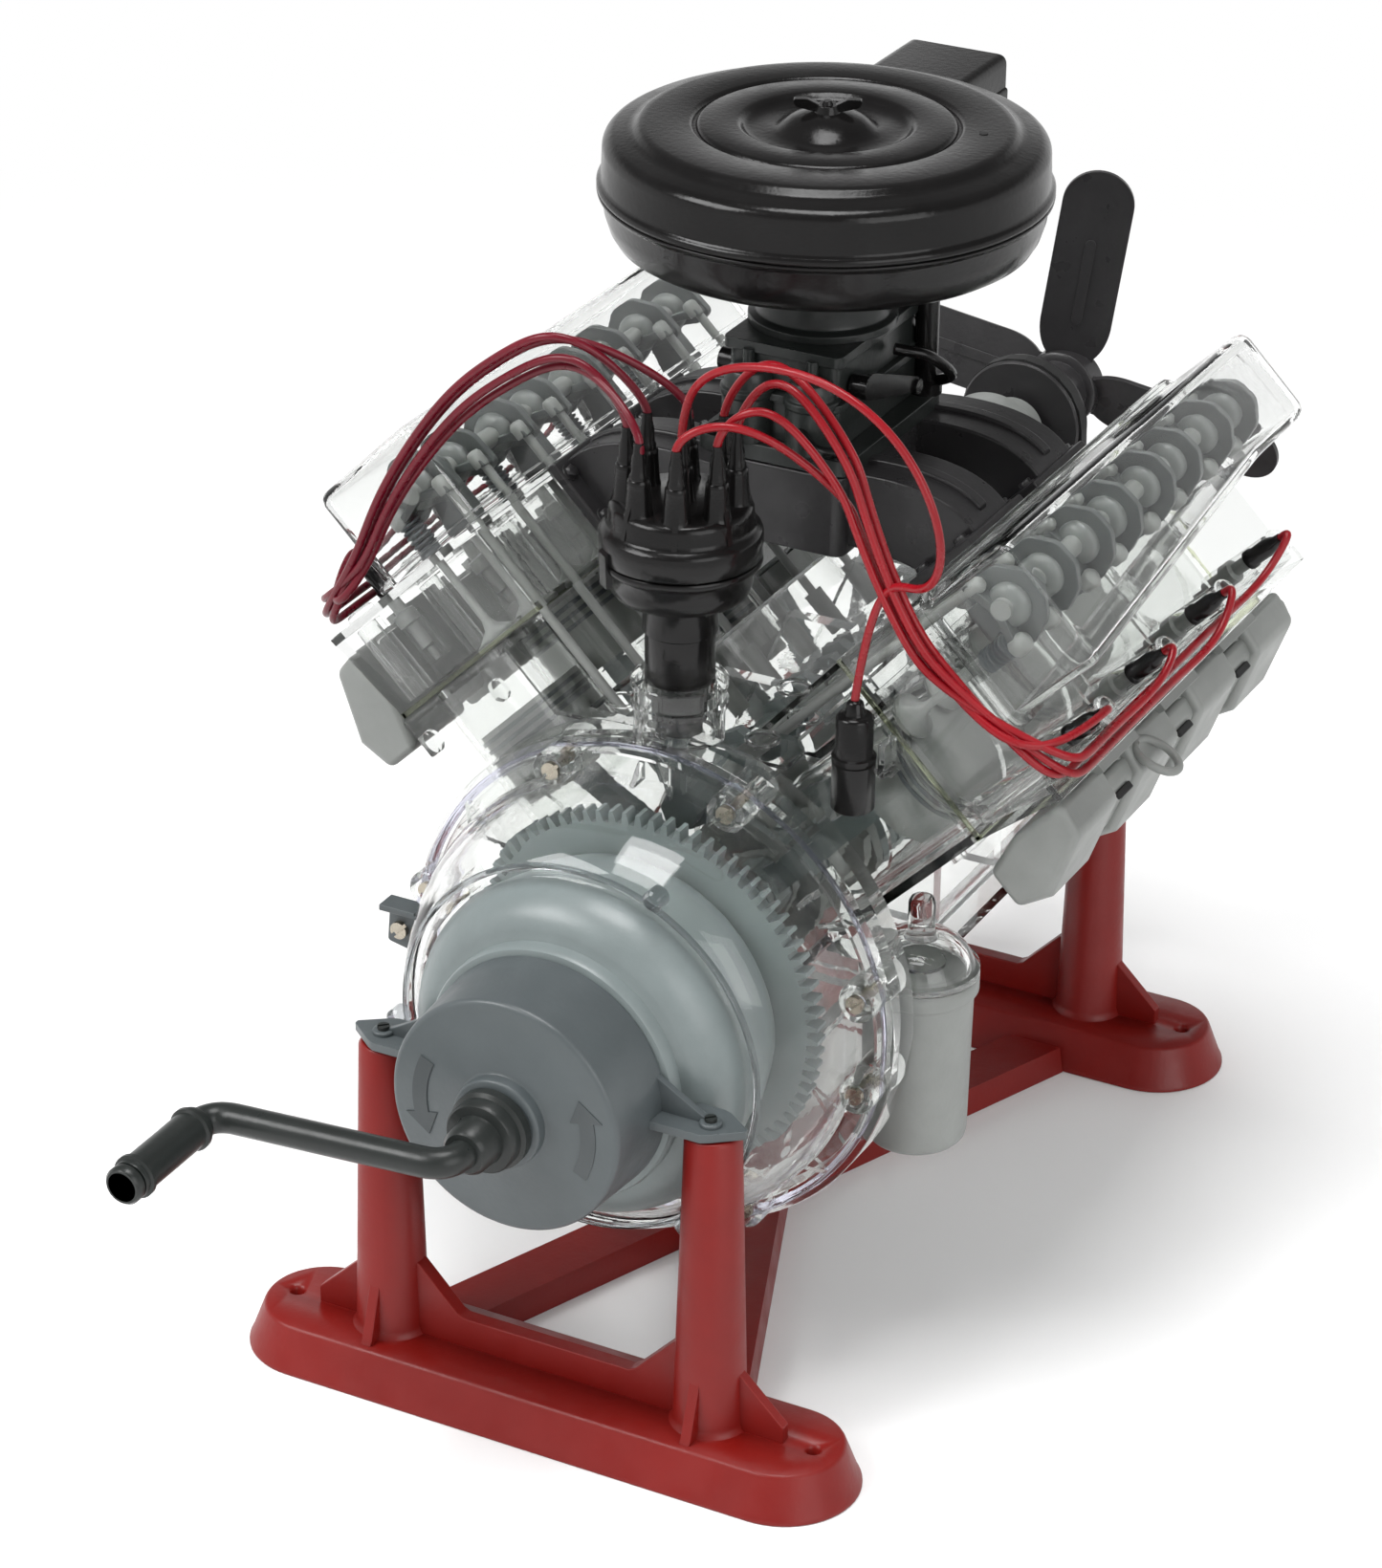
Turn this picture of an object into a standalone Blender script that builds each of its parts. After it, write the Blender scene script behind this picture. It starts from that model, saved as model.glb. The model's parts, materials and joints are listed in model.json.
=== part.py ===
# Cutaway V8 four stroke engine model on a four post stand, worked by a hand crank.
# Metres, +Z up, +Y along the crankshaft from the hand crank to the fan.
# The origin is the middle of the underside of the foot at the hand crank.
import math

import bmesh
import bpy
from mathutils import Matrix, Vector

# Facets on round pieces
TINY, SMALL, COARSE, MEDIUM, FINE = 4, 6, 8, 12, 24
TOOTH_COUNT = 84

# Clearances
WELD = 0.00001                  # points closer than this are one
FIT = 0.0003                    # gap between pieces that rest on each other
RUNNING = 0.0004                # gap round a turning or sliding piece
OVERRUN = 0.0020                # how far a cutter runs past what it cuts

# Stand
FOOT_HEIGHT = 0.0095
FOOT_HALF_LENGTH = 0.0656       # at the top face
FOOT_HALF_WIDTH = 0.0122
FOOT_FLARE = 0.0037             # how far the underside stands out past the top
FOOT_SPACING = 0.1887           # between the two feet, along the crankshaft
SCREW_HOLE_OFFSET = 0.0600
SCREW_HOLE_RADIUS = 0.00135
POST_OFFSET = 0.03685
POST_BASE_RADIUS = 0.0074
POST_TOP_RADIUS = 0.0057
POST_HEIGHT = 0.0669
RIB_THICKNESS = 0.0024
RIB_HEIGHT = 0.0145
RIB_REACH = 0.0170              # outward from the post's axis
RIB_TOE = 0.0038
SIDE_RIB_REACH = 0.0112
WEB_THICKNESS = 0.0034
WEB_LOW = 0.0068
WEB_HIGH = 0.0170
WEB_SLOPE_RUN = 0.0095
BEAM_WIDTH = 0.0138
BEAM_HEIGHT = 0.0062
BEAM_DRAFT = 0.0009

# Crankshaft line and banks
CRANK_RISE = 0.0018             # of the crankshaft above the tops of the posts
BANK_ANGLE = math.radians(45)
CYLINDERS = 4                   # in each bank
BORE_PITCH = 0.0315
BANK_STAGGER = 0.0080           # the right bank stands this much nearer the fan
BLOCK_START = 0.0520            # rear wall, towards the hand crank
BORE_RADIUS = 0.0129
LINER_WALL = 0.0013
LINER_SHORT = 0.0036            # of the lowest edge of a piston's skirt
DECK_HEIGHT = 0.0730
BANK_OUTER = 0.0163
BANK_INNER = 0.0170
WALL = 0.0018
CASE_HALF_WIDTH = 0.0300
CASE_FLOOR = 0.0160             # below the crankshaft
VALLEY_HEIGHT = 0.0515          # above the crankshaft
BULKHEAD = 0.0036
BULKHEAD_NECK_SHARE = 2.5       # of the camshaft's radius

# Crankshaft, rods and pistons
THROW = 0.0110
THROW_ANGLES = (45, 135, 315, 225)  # degrees, from the hand crank to the fan
MAIN_RADIUS = 0.0050
PIN_RADIUS = 0.0036
WEB_PLATE = 0.0032
WEB_HEAD_ANGLE = 75             # degrees, to each side of the throw
WEB_TAIL_ANGLE = 62             # degrees, to each side of its opposite
COUNTERWEIGHT_RADIUS = 0.0155
BIG_END_RADIUS = 0.0063
SMALL_END_RADIUS = 0.0036
WRIST_RADIUS = 0.0015
ROD_PLATE = 0.0034
ROD_WIDE = 0.0064               # across the shank at the crankpin
ROD_NARROW = 0.0042
PISTON_RADIUS = 0.0124
PISTON_LENGTH = 0.0160
PISTON_WALL = 0.0016
CROWN_THICKNESS = 0.0025
CROWN_TO_WRIST = 0.0100
SQUISH = 0.0006                 # from the crown to the deck at the top of the stroke

# Camshaft and its drive
CAM_HEIGHT = 0.0340             # above the crankshaft
CAM_RADIUS = 0.0030
CAM_GEAR_RADIUS = 0.0042
CAM_GEAR_WIDTH = 0.0040
LOBE_RADIUS = 0.0045
LOBE_OFFSET = 0.0015
LOBE_WIDTH = 0.0030
LOBE_ANGLE = 55                 # degrees, of each valve's lobe from the middle between the two
SPROCKET_RADIUS = 0.0075
CHAIN_THICKNESS = 0.0012
CHAIN_WIDTH = 0.0036

# Housings at the hand crank
DRUM_FRONT = -0.0175
DRUM_REAR = 0.0003
DRUM_FRONT_RADIUS = 0.0252
DRUM_REAR_RADIUS = 0.0262
DRUM_EDGE = 0.0010
DRUM_BOSS_RADIUS = 0.0096
DRUM_BOSS_LENGTH = 0.0032
SHAFT_RADIUS = 0.0040
ARM_HALF_DEPTH = 0.0058
ARM_THICKNESS = 0.0019
ARM_TIP = 0.0440
ARM_RIB = 0.0016
ARM_RIB_RISE = 0.0110
ARM_BACK_SHARE = 0.9            # of the depth in front of the posts
ARM_ROOT_SHARE = 0.9            # of the timing cover's half width
BELL_WALL = 0.0025
GEAR_BELL_COLLAR = 0.0277
GEAR_BELL_COLLAR_LENGTH = 0.0038
GEAR_BELL_SHOULDER = 0.0367
GEAR_BELL_SHOULDER_AT = 0.0160
GEAR_BELL_ANGLES = (15, 90)     # degrees, of the quarter turn that rounds its shoulder
GEAR_BELL_WAIST = 0.0325
GEAR_BELL_END = 0.0345
CLEAR_BELL_START = 0.0130
CLEAR_BELL_RIM = 0.0395
CLEAR_BELL_SKIRT = 0.0489
CLEAR_BELL_BULGE = 0.0012       # of its cone, halfway
CLEAR_BELL_FLANGE = 0.0530
CLEAR_BELL_STEP = 0.0388
CLEAR_BELL_END = 0.0428
LUG_RADIUS = 0.0042
LUG_CIRCLE = 0.0503
LUG_ANGLES = (67, 113, 13, 167, -11, 191, -60, 240)     # degrees
ADAPTER_RADIUS = 0.0550
ADAPTER_RIM = 0.0036
FLYWHEEL_FRONT = 0.0368
FLYWHEEL_THICKNESS = 0.0038
FLYWHEEL_TIP = 0.0408
FLYWHEEL_ROOT = 0.0384
TOOTH_SHARES = (-0.34, -0.16, 0.12, 0.26)   # root, tip, tip and root, of one tooth's turn

# Hand crank
HUB_RADIUS = 0.0084
HUB_LENGTH = 0.0062
NECK_RADIUS = 0.0050
CRANK_ARM_Y = -0.0385
CRANK_ROD_RADIUS = 0.0031
CRANK_ELBOW = 0.0062
CRANK_REACH = 0.0540
CRANK_DROP = 0.0036
GRIP_START = 0.0048             # from the arm, along the handle
GRIP_LENGTH = 0.0235
GRIP_RADIUS = 0.0040
GRIP_RING = 0.0006              # how far its rings stand out
HANDLE_LENGTH = 0.0310

# Heads, valve gear and covers
HEAD_SETBACK = 0.0010           # from the bank's own start
HEAD_LENGTH = 0.1280
HEAD_INNER = 0.0290
HEAD_OUTER = 0.0190
HEAD_HEIGHT = 0.0222
PUSHROD_SLOT = 0.0080
COVER_SETBACK = 0.0040
COVER_LENGTH = 0.1240
COVER_INNER = 0.0285
COVER_WIDE = 0.0020
COVER_NARROW = -0.0062
COVER_STRAIGHT_SHARE = 0.2      # of its length, for the narrow end
COVER_HEIGHT = 0.0240
COVER_WALL = 0.0014
COVER_LIP = 0.0018
COVER_ROUND_SHARE = 0.05        # of its height
ROCKER_SPREAD = 0.0070
ROCKER_SHAFT_AT = 0.0175        # inward from the bores
ROCKER_SHAFT_RISE = 0.0125      # above the head
ROCKER_SHAFT_RADIUS = 0.0022
ROCKER_STAND_SHARE = 1.2        # of the shaft's radius, to each side of it
ROCKER_THICKNESS = 0.0048
ROCKER_TOP = 0.0055             # above its shaft
VALVE_AT = 0.0108               # inward from the bores
SPRING_RADIUS = 0.0026
SPRING_HEIGHT = 0.0082
PUSHROD_RADIUS = 0.0010
LIFTER_RADIUS = 0.0021
LIFTER_LENGTH = 0.0100
ROCKER_SHARES = ((0, 0), (0, 0.50), (0.42, 1), (0.70, 0.94), (1, 0), (0.50, 0.30))

# Exhaust manifolds
EXHAUST_SETBACK = 0.0060
EXHAUST_LENGTH = 0.1180
EXHAUST_OUTER = 0.0345
EXHAUST_DROP = 0.0030           # of its top below the head's
EXHAUST_HANG = 0.0063           # of its bottom below the head's
PORT_WIDTH = 0.0180
PORT_PLATE = 0.0022
BULGE_SHARE = 0.64              # of the distance between two ports
LOG_SHARES = ((0.20, 0.86), (0.50, 0.82), (0.84, 0.34), (0.74, 0.08), (0.30, 0.06), (0.14, 0.38))
BULGE_SHARES = ((0.05, 0.94), (0.55, 0.90), (1, 0.32), (0.86, 0), (0.26, 0), (0.05, 0.40))

# Intake manifold and carburettor
CARB_Y = 0.1160
PLENUM_HALF_WIDTH = 0.0165
PLENUM_HALF_LENGTH = 0.0230
PLENUM_BOTTOM = 0.0780          # above the crankshaft
PLENUM_TOP = 0.0955
RUNNER_HALF_WIDTH = 0.0080
RUNNER_PAD = 0.0024
RUNNER_PAD_HALF = 0.0125
RUNNER_LIFT = 0.0037            # of the pad's lower edge above the head's base
RUNNER_CROWN = 0.0040           # of its arch's corner above the plenum
RUNNER_CORNER_SHARE = 0.82      # of the way to the pad's outer edge
CARB_FOOT_HALF_WIDTH = 0.0175
CARB_FOOT_HEIGHT = 0.0036
CARB_HALF_WIDTH = 0.0130
CARB_HALF_LENGTH = 0.0190
CARB_BODY_HEIGHT = 0.0240
CARB_HORN_RADIUS = 0.0135
CARB_THROAT = 0.0110
CARB_BOWL_RADIUS = 0.0052
CARB_BOWL_OFFSET = 0.0072
CARB_BOWL_SHARE = 0.8           # of the body's height

# Air cleaner
CLEANER_BOTTOM = 0.0410         # above the carburettor's foot
CLEANER_PAN_HEIGHT = 0.0112
CLEANER_LID_HEIGHT = 0.0115     # from the seam to the shoulder
CLEANER_RADIUS = 0.0452
CLEANER_BEAD = 0.0011
CLEANER_STEP_INSET = 0.0066     # from the rim
CLEANER_FLOOR_INSET = 0.0032
CLEANER_RISE = 0.0020
CLEANER_GROOVE_SHARE = 0.593    # of the radius
CLEANER_GROOVE_DEPTH = 0.0007
CLEANER_DISH_SHARE = 0.38
CLEANER_DISH_DEPTH = 0.0016
CLEANER_DOME_SHARE = 0.2
CLEANER_SHEET = 0.0016
SNORKEL_WIDTH = 0.0230
SNORKEL_DROP = 0.0002           # of its top below the shoulder
SNORKEL_HEIGHT = 0.0108
SNORKEL_REACH = 0.0168          # past the rim
WING_NUT_RADIUS = 0.0030
WING_NUT_HEIGHT = 0.0040
WING_SPAN = 0.0070
WING_NUT_TAPER_SHARE = 0.7
WING_ANGLE = math.radians(25)
WING_SHARES = ((0, 0), (0.35, 0), (1, 0.75), (1, 1.25), (0.75, 1.4), (0, 0.7))

# Distributor and coil
DISTRIBUTOR_Y = 0.0545
DISTRIBUTOR_RISE = 0.0273       # of its seam above its boss
DISTRIBUTOR_RADIUS = 0.0163
DISTRIBUTOR_BODY_RADIUS = 0.0145
DISTRIBUTOR_BODY_LENGTH = 0.0085
DISTRIBUTOR_NECK_RADIUS = 0.0071
DISTRIBUTOR_NECK_DEPTH = 0.0035 # of its end below the boss's top
BOSS_RADIUS = 0.0092
BOSS_HEIGHT = 0.0130            # above the valley
CAP_HEIGHT = 0.0112
CAP_WALL = 0.0020
CAP_SHOULDER = 0.0142
TOWER_COUNT = 8
TOWER_RADIUS = 0.0026
TOWER_TAPER_SHARE = 0.8
TOWER_HEIGHT = 0.0095
TOWER_CIRCLE = 0.0108
ROTOR_SHAFT = 0.0022
ROTOR_HUB = 0.0048
ROTOR_HEIGHT = 0.0050
ROTOR_ARM = 0.0110
COIL_X, COIL_Y = 0.0385, 0.0553
COIL_RISE = 0.0443              # above the crankshaft
COIL_LENGTH = 0.0120
COIL_RADIUS = 0.0044
COIL_CAP_RADIUS = 0.0038
COIL_CAP_LENGTH = 0.0090

# Oil filter and pan
FILTER_X, FILTER_Y = 0.0492, 0.0668
FILTER_DROP = 0.0342            # below the crankshaft
FILTER_LENGTH = 0.0385
FILTER_RADIUS = 0.0112
FILTER_RIM = 0.0010
FILTER_RIM_HEIGHT = 0.0030
FILTER_DOME = 0.0080
FILTER_KNOB = 0.0028
FILTER_KNOB_HEIGHT = 0.0090
FILTER_BRACKET = 0.0080
FILTER_ROUND_SHARE = 0.2        # of its radius, at the lower edge
FILTER_CHAMFER_SHARE = 0.3      # of that
FILTER_TAPER_SHARE = 0.95
FILTER_LUG_SHARE = 0.8
FILTER_DOME_SHARES = ((0.45, 1), (0.80, 0.78), (0.97, 0.40))
FILTER_ROOM_SHARES = (0.72, 0.55)
PAN_HALF_WIDTH = 0.0280
PAN_RAIL = 0.0026
PAN_SHALLOW = 0.0140
PAN_DEEP = 0.0300
PAN_SUMP_LENGTH = 0.0620

# Front end
COVER_DEPTH = 0.0125
COVER_FOOT_HALF = 0.0260
COVER_SHARES = ((1, 0), (1, 0.40), (0.82, 0.88), (0.52, 1),
                (-0.52, 1), (-0.82, 0.88), (-1, 0.40), (-1, 0))
COVER_TOP = 0.0600              # above the crankshaft
PUMP_HEIGHT = 0.0580            # above the crankshaft
PUMP_RADIUS = 0.0125
PUMP_NOSE = 0.0070
PUMP_LENGTH = 0.0180
PUMP_SHAFT = 0.0028
PULLEY_RADIUS = 0.0160
PUMP_PULLEY_RADIUS = 0.0145
PULLEY_WIDTH = 0.0060
PULLEY_GROOVE = 0.0026
PULLEY_HUB = 0.0085
BELT_WIDTH = 0.0030
BELT_THICKNESS = 0.0026
FAN_Y = 0.2440
FAN_RADIUS = 0.0540
FAN_HUB_RADIUS = 0.0090
FAN_HUB_LENGTH = 0.0060
FAN_BLADES = 4
FAN_BLADE_HALF_WIDTH = 0.0077
FAN_BLADE_PLATE = 0.0012
BLADE_ROOT_SHARE = 0.7          # of its width
BLADE_WIDE_SHARE = 1.5          # of the hub's radius, where it has its full width
FAN_PITCH = math.radians(20)
FAN_TURN = math.radians(8)

# Ignition leads. A place on a route is (outward from the bores, from the distributor along the crankshaft,
# above the head).
LEAD_RADIUS = 0.00085
LEAD_SPACING = 0.0060           # between the rings of a lead's tube, three times that where it is straight
LEAD_BEND = math.radians(22)    # between two of its rings
LEAD_STEPS = 12                 # between two places on a route, before the spacing
LEAD_APART = 0.0012             # of each lead from the middle of its bundle
COLLAR_RADIUS = 0.0026          # of the ring that holds a bundle together
COLLAR_LENGTH = 0.0024
BOOT_RADIUS = 0.0022
BOOT_LENGTH = 0.0080
BOOT_TAPER_SHARE = 0.7
BOOT_LEAD_SHARE = 1.6           # of a boot's length, where a lead comes straight in
PLUG_AT = 0.0110                # outward from the bores
BUNDLES = {
    "right": ((-0.0600, 0.0025, 0.0080), (-0.0540, 0.0022, 0.0068), (-0.0480, 0.0020, 0.0054),
              (-0.0364, 0.0018, 0.0017), (-0.0241, 0.0018, -0.0010), (-0.0130, 0.0015, -0.0010)),
    "left": ((-0.0764, -0.0040, 0.0125), (-0.0600, -0.0045, 0.0170), (-0.0430, -0.0047, 0.0185),
             (-0.0178, -0.0048, 0.0140), (-0.0040, -0.0050, 0.0080)),
}
BUNDLE_SHARES = ((1, -1), (-1, -1), (-1, 1), (1, 1))    # of each lead from the middle of its bundle
# Each lead's own way past the boots
LEDGE_LANES = (None, (0.0150, 0.0075), (0.0172, 0.0049), (0.0154, 0.0027))
CORNER_LANE = (0.0085, 0.0040)  # of the first lead, round the end of the cover
COIL_ROUTE = ((-0.0900, -0.0025, 0.0015), (-0.0770, -0.0050, 0.0225), (-0.0555, -0.0060, 0.0305),
              (-0.0345, -0.0060, 0.0235), (-0.0290, -0.0030, 0.0105))

# Sizes worked out from those above
BANK_LENGTH = BORE_PITCH * CYLINDERS
BLOCK_END = BLOCK_START + BANK_STAGGER + BANK_LENGTH
POST_TOP = FOOT_HEIGHT + POST_HEIGHT
CRANK_HEIGHT = POST_TOP + CRANK_RISE
ROD_LENGTH = DECK_HEIGHT - SQUISH - CROWN_TO_WRIST - THROW
LINER_FOOT = ROD_LENGTH - THROW + CROWN_TO_WRIST - PISTON_LENGTH + LINER_SHORT
ROD_SLICE = BANK_STAGGER + FIT  # each rod's share of a crankpin
HEAD_BASE = DECK_HEIGHT + FIT
HEAD_TOP = HEAD_BASE + HEAD_HEIGHT
EXHAUST_TOP = HEAD_TOP - EXHAUST_DROP
EXHAUST_BOTTOM = HEAD_BASE - EXHAUST_HANG
RUNNER_FLOOR = HEAD_BASE + RUNNER_LIFT
CAM_START = BLOCK_START + WALL * 1.5 + FIT
HUB_BACK = DRUM_FRONT - DRUM_BOSS_LENGTH - FIT
CHAIN_Y = BLOCK_END + OVERRUN + CHAIN_WIDTH / 2
COVER_FACE = BLOCK_END + COVER_DEPTH
PULLEY_BACK = COVER_FACE + OVERRUN
PUMP_END = COVER_FACE + FIT + PUMP_LENGTH
PULLEY_MIDDLE = PUMP_END + OVERRUN + PULLEY_WIDTH / 2
PLENUM_SEAT = CRANK_HEIGHT + PLENUM_TOP + FIT
PAN_BOTTOM = PLENUM_SEAT + CLEANER_BOTTOM
CLEANER_FLOOR_RADIUS = CLEANER_RADIUS - CLEANER_FLOOR_INSET
CLEANER_STEP = CLEANER_RADIUS - CLEANER_STEP_INSET
CLEANER_GROOVE = CLEANER_RADIUS * CLEANER_GROOVE_SHARE
CLEANER_DISH = CLEANER_RADIUS * CLEANER_DISH_SHARE
CLEANER_DOME = CLEANER_RADIUS * CLEANER_DOME_SHARE
CLEANER_SEAM = PAN_BOTTOM + CLEANER_PAN_HEIGHT
CLEANER_SHOULDER = CLEANER_SEAM + CLEANER_LID_HEIGHT
SNORKEL_TOP = CLEANER_SHOULDER - SNORKEL_DROP
SNORKEL_END = CARB_Y + CLEANER_RADIUS + SNORKEL_REACH
VALLEY_TOP = CRANK_HEIGHT + VALLEY_HEIGHT
BOSS_TOP = VALLEY_TOP + BOSS_HEIGHT
COIL_BOTTOM = CRANK_HEIGHT + COIL_RISE
FILTER_BOTTOM = CRANK_HEIGHT - FILTER_DROP
DISTRIBUTOR_SEAM = BOSS_TOP + DISTRIBUTOR_RISE
SIDES = (("right", 1), ("left", -1))


# Scene

def clear_scene():
    for held in list(bpy.data.objects):
        bpy.data.objects.remove(held, do_unlink=True)


def new_collection(name):
    made = bpy.data.collections.new(name)
    bpy.context.scene.collection.children.link(made)
    return made


def material(name, colour, roughness, metallic=0.0, alpha=1.0):
    made = bpy.data.materials.new(name)
    made.use_nodes = True
    shader = made.node_tree.nodes["Principled BSDF"]
    shader.inputs["Base Color"].default_value = (*colour, 1.0)
    shader.inputs["Roughness"].default_value = roughness
    shader.inputs["Metallic"].default_value = metallic
    shader.inputs["Alpha"].default_value = alpha
    made.diffuse_color = (*colour, alpha)
    return made


clear_scene()
ENGINE = new_collection("four_stroke_engine_model")
CUTTERS = new_collection("cutters")
CUTTERS.hide_render = True

RED = material("red_styrene", (0.28, 0.018, 0.012), 0.42)
CLEAR = material("clear_styrene", (0.80, 0.82, 0.80), 0.06, alpha=0.35)
DARK_GREY = material("dark_grey_styrene", (0.060, 0.072, 0.076), 0.38)
MID_GREY = material("mid_grey_styrene", (0.17, 0.20, 0.20), 0.34)
LIGHT_GREY = material("light_grey_styrene", (0.29, 0.31, 0.30), 0.45)
BLACK = material("black_styrene", (0.012, 0.011, 0.011), 0.28)
RUBBER = material("black_rubber", (0.015, 0.015, 0.015), 0.70)
LEAD_RED = material("lead_red", (0.45, 0.010, 0.022), 0.35)


# Shapes

def link(data, name, where=CUTTERS):
    made = bpy.data.objects.new(name, data)
    made.hide_render = where is CUTTERS
    where.objects.link(made)
    return made


def from_bmesh(built, name):
    bmesh.ops.recalc_face_normals(built, faces=built.faces)
    mesh_data = bpy.data.meshes.new(name)
    built.to_mesh(mesh_data)
    built.free()
    return link(mesh_data, name)


def realise(piece):
    """The piece as a plain mesh in world space, with its modifiers made part of it."""
    bpy.context.view_layer.update()
    evaluated = piece.evaluated_get(bpy.context.evaluated_depsgraph_get())
    mesh_data = bpy.data.meshes.new_from_object(evaluated)
    mesh_data.transform(evaluated.matrix_world)
    built = bmesh.new()
    built.from_mesh(mesh_data)
    bmesh.ops.remove_doubles(built, verts=built.verts, dist=WELD)
    bmesh.ops.recalc_face_normals(built, faces=built.faces)
    built.to_mesh(mesh_data)
    built.free()
    name = piece.name
    bpy.data.objects.remove(piece, do_unlink=True)
    return link(mesh_data, name)


def moved(piece, matrix):
    piece.data.transform(matrix)
    if matrix.determinant() < 0:
        piece.data.flip_normals()
    return piece


def bevelled(piece, width):
    edges = piece.modifiers.new("edges", "BEVEL")
    edges.width = width
    edges.segments = 1
    edges.limit_method = "ANGLE"
    return realise(piece)


def box(low, high, name="box"):
    built = bmesh.new()
    bmesh.ops.create_cube(built, size=1)
    bmesh.ops.scale(built, vec=Vector(high) - Vector(low), verts=built.verts)
    bmesh.ops.translate(built, vec=(Vector(high) + Vector(low)) / 2, verts=built.verts)
    return from_bmesh(built, name)


def rod(start, end, radius, end_radius=None, sides=MEDIUM, name="rod"):
    """A cylinder or cone between two points."""
    start, end = Vector(start), Vector(end)
    axis = end - start
    built = bmesh.new()
    bmesh.ops.create_cone(built, cap_ends=True, segments=sides, radius1=radius,
                          radius2=radius if end_radius is None else end_radius,
                          depth=axis.length)
    turn = Vector((0, 0, 1)).rotation_difference(axis).to_matrix().to_4x4()
    bmesh.ops.transform(built, matrix=Matrix.Translation((start + end) / 2) @ turn, verts=built.verts)
    return from_bmesh(built, name)


def slab(outline, low, high, name="slab"):
    """An outline in X and Y, filled and run along Z from low to high."""
    curve = bpy.data.curves.new(name, "CURVE")
    curve.dimensions = "2D"
    curve.fill_mode = "BOTH"
    curve.extrude = (high - low) / 2
    spline = curve.splines.new("POLY")
    spline.points.add(len(outline) - 1)
    for slot, (x, y) in zip(spline.points, outline):
        slot.co = (x, y, 0, 1)
    spline.use_cyclic_u = True
    made = link(curve, name)
    made.location.z = (low + high) / 2
    return realise(made)


def prism(outline, low, high, name="prism"):
    """An outline in X and Z, filled and run along Y from low to high."""
    return moved(slab(outline, -high, -low, name), Matrix.Rotation(math.radians(90), 4, "X"))


def turned(profile, centre, axis="Z", sides=MEDIUM, name="turned"):
    """A body turned from a profile of (radius, height) that runs down its outer side."""
    mesh_data = bpy.data.meshes.new(name)
    count = len(profile)
    ring = min(radius for radius, _ in profile) > 0
    edges = [(i, i + 1) for i in range(count - 1)] + ([(count - 1, 0)] if ring else [])
    mesh_data.from_pydata([(radius, 0, height) for radius, height in profile], edges, [])
    made = link(mesh_data, name)
    screw = made.modifiers.new("turn", "SCREW")
    screw.steps = screw.render_steps = sides
    screw.use_merge_vertices = True
    screw.merge_threshold = WELD
    quarter = {"Z": 0, "Y": -90, "-Y": 90}[axis]
    made.matrix_world = Matrix.Translation(centre) @ Matrix.Rotation(math.radians(quarter), 4, "X")
    return realise(made)


def tube(points, radius, resolution=2, name="tube"):
    """A round bar along the points, with closed ends."""
    curve = bpy.data.curves.new(name, "CURVE")
    curve.dimensions = "3D"
    curve.bevel_depth = radius
    curve.bevel_resolution = resolution
    curve.use_fill_caps = True
    spline = curve.splines.new("POLY")
    spline.points.add(len(points) - 1)
    for slot, point in zip(spline.points, points):
        slot.co = (*point, 1)
    return realise(link(curve, name))


def combine(target, tool, operation):
    change = target.modifiers.new(operation, "BOOLEAN")
    change.operation = operation
    change.solver = "EXACT"
    change.object = tool
    made = realise(target)
    bpy.data.objects.remove(tool, do_unlink=True)
    return made


def union(pieces):
    whole = pieces[0]
    for piece in pieces[1:]:
        whole = combine(whole, piece, "UNION")
    return whole


def cut(target, tools):
    for tool in tools:
        target = combine(target, tool, "DIFFERENCE")
    return target


def finish(piece, name, look, origin=None, parent=None):
    """Names the piece, gives it its material and puts its origin on its joint's axis."""
    CUTTERS.objects.unlink(piece)
    ENGINE.objects.link(piece)
    piece.hide_render = False
    piece.name = piece.data.name = name
    piece.data.materials.clear()
    piece.data.materials.append(look)
    if origin is not None:
        piece.data.transform(Matrix.Translation(-Vector(origin)))
        piece.location = origin
    if parent is not None:
        piece.parent = parent
        piece.matrix_parent_inverse = Matrix.Translation(-parent.location)
    piece.data.shade_smooth()
    piece.data.set_sharp_from_angle(angle=math.radians(35))
    return piece


def pivot(name, place):
    made = link(None, name, ENGINE)
    made.empty_display_size = SHAFT_RADIUS
    made.location = place
    return made


def arc(centre, radius, start, stop, steps):
    """Points of an arc in a plane, from one angle in degrees to another."""
    turns = [math.radians(start + (stop - start) * i / steps) for i in range(steps + 1)]
    return [(centre[0] + radius * math.cos(t), centre[1] + radius * math.sin(t)) for t in turns]


def curve(start, corner, stop, steps):
    """Points of a smooth bend from start to stop, drawn towards a corner."""
    start, corner, stop = Vector(start), Vector(corner), Vector(stop)
    shares = [i / steps for i in range(steps + 1)]
    return [start * (1 - t) ** 2 + corner * (2 * t * (1 - t)) + stop * t ** 2 for t in shares]


def spread(shares, low, high):
    """The points that a table of shares gives between two corners."""
    return [(low[0] + (high[0] - low[0]) * u, low[1] + (high[1] - low[1]) * v) for u, v in shares]


# Banks

def bank_point(side, across, y, along):
    """A point in a bank: across is outward from the bores, along is from the crankshaft."""
    lean = math.sin(BANK_ANGLE)
    return Vector((side * lean * (along + across), y, CRANK_HEIGHT + lean * (along - across)))


def to_bank(side, piece):
    """Moves a piece built with X outward and Z along the bores into its bank."""
    lean = Matrix.Rotation(side * BANK_ANGLE, 4, "Y") @ Matrix.Diagonal((side, 1, 1, 1))
    return moved(piece, Matrix.Translation((0, 0, CRANK_HEIGHT)) @ lean)


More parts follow.
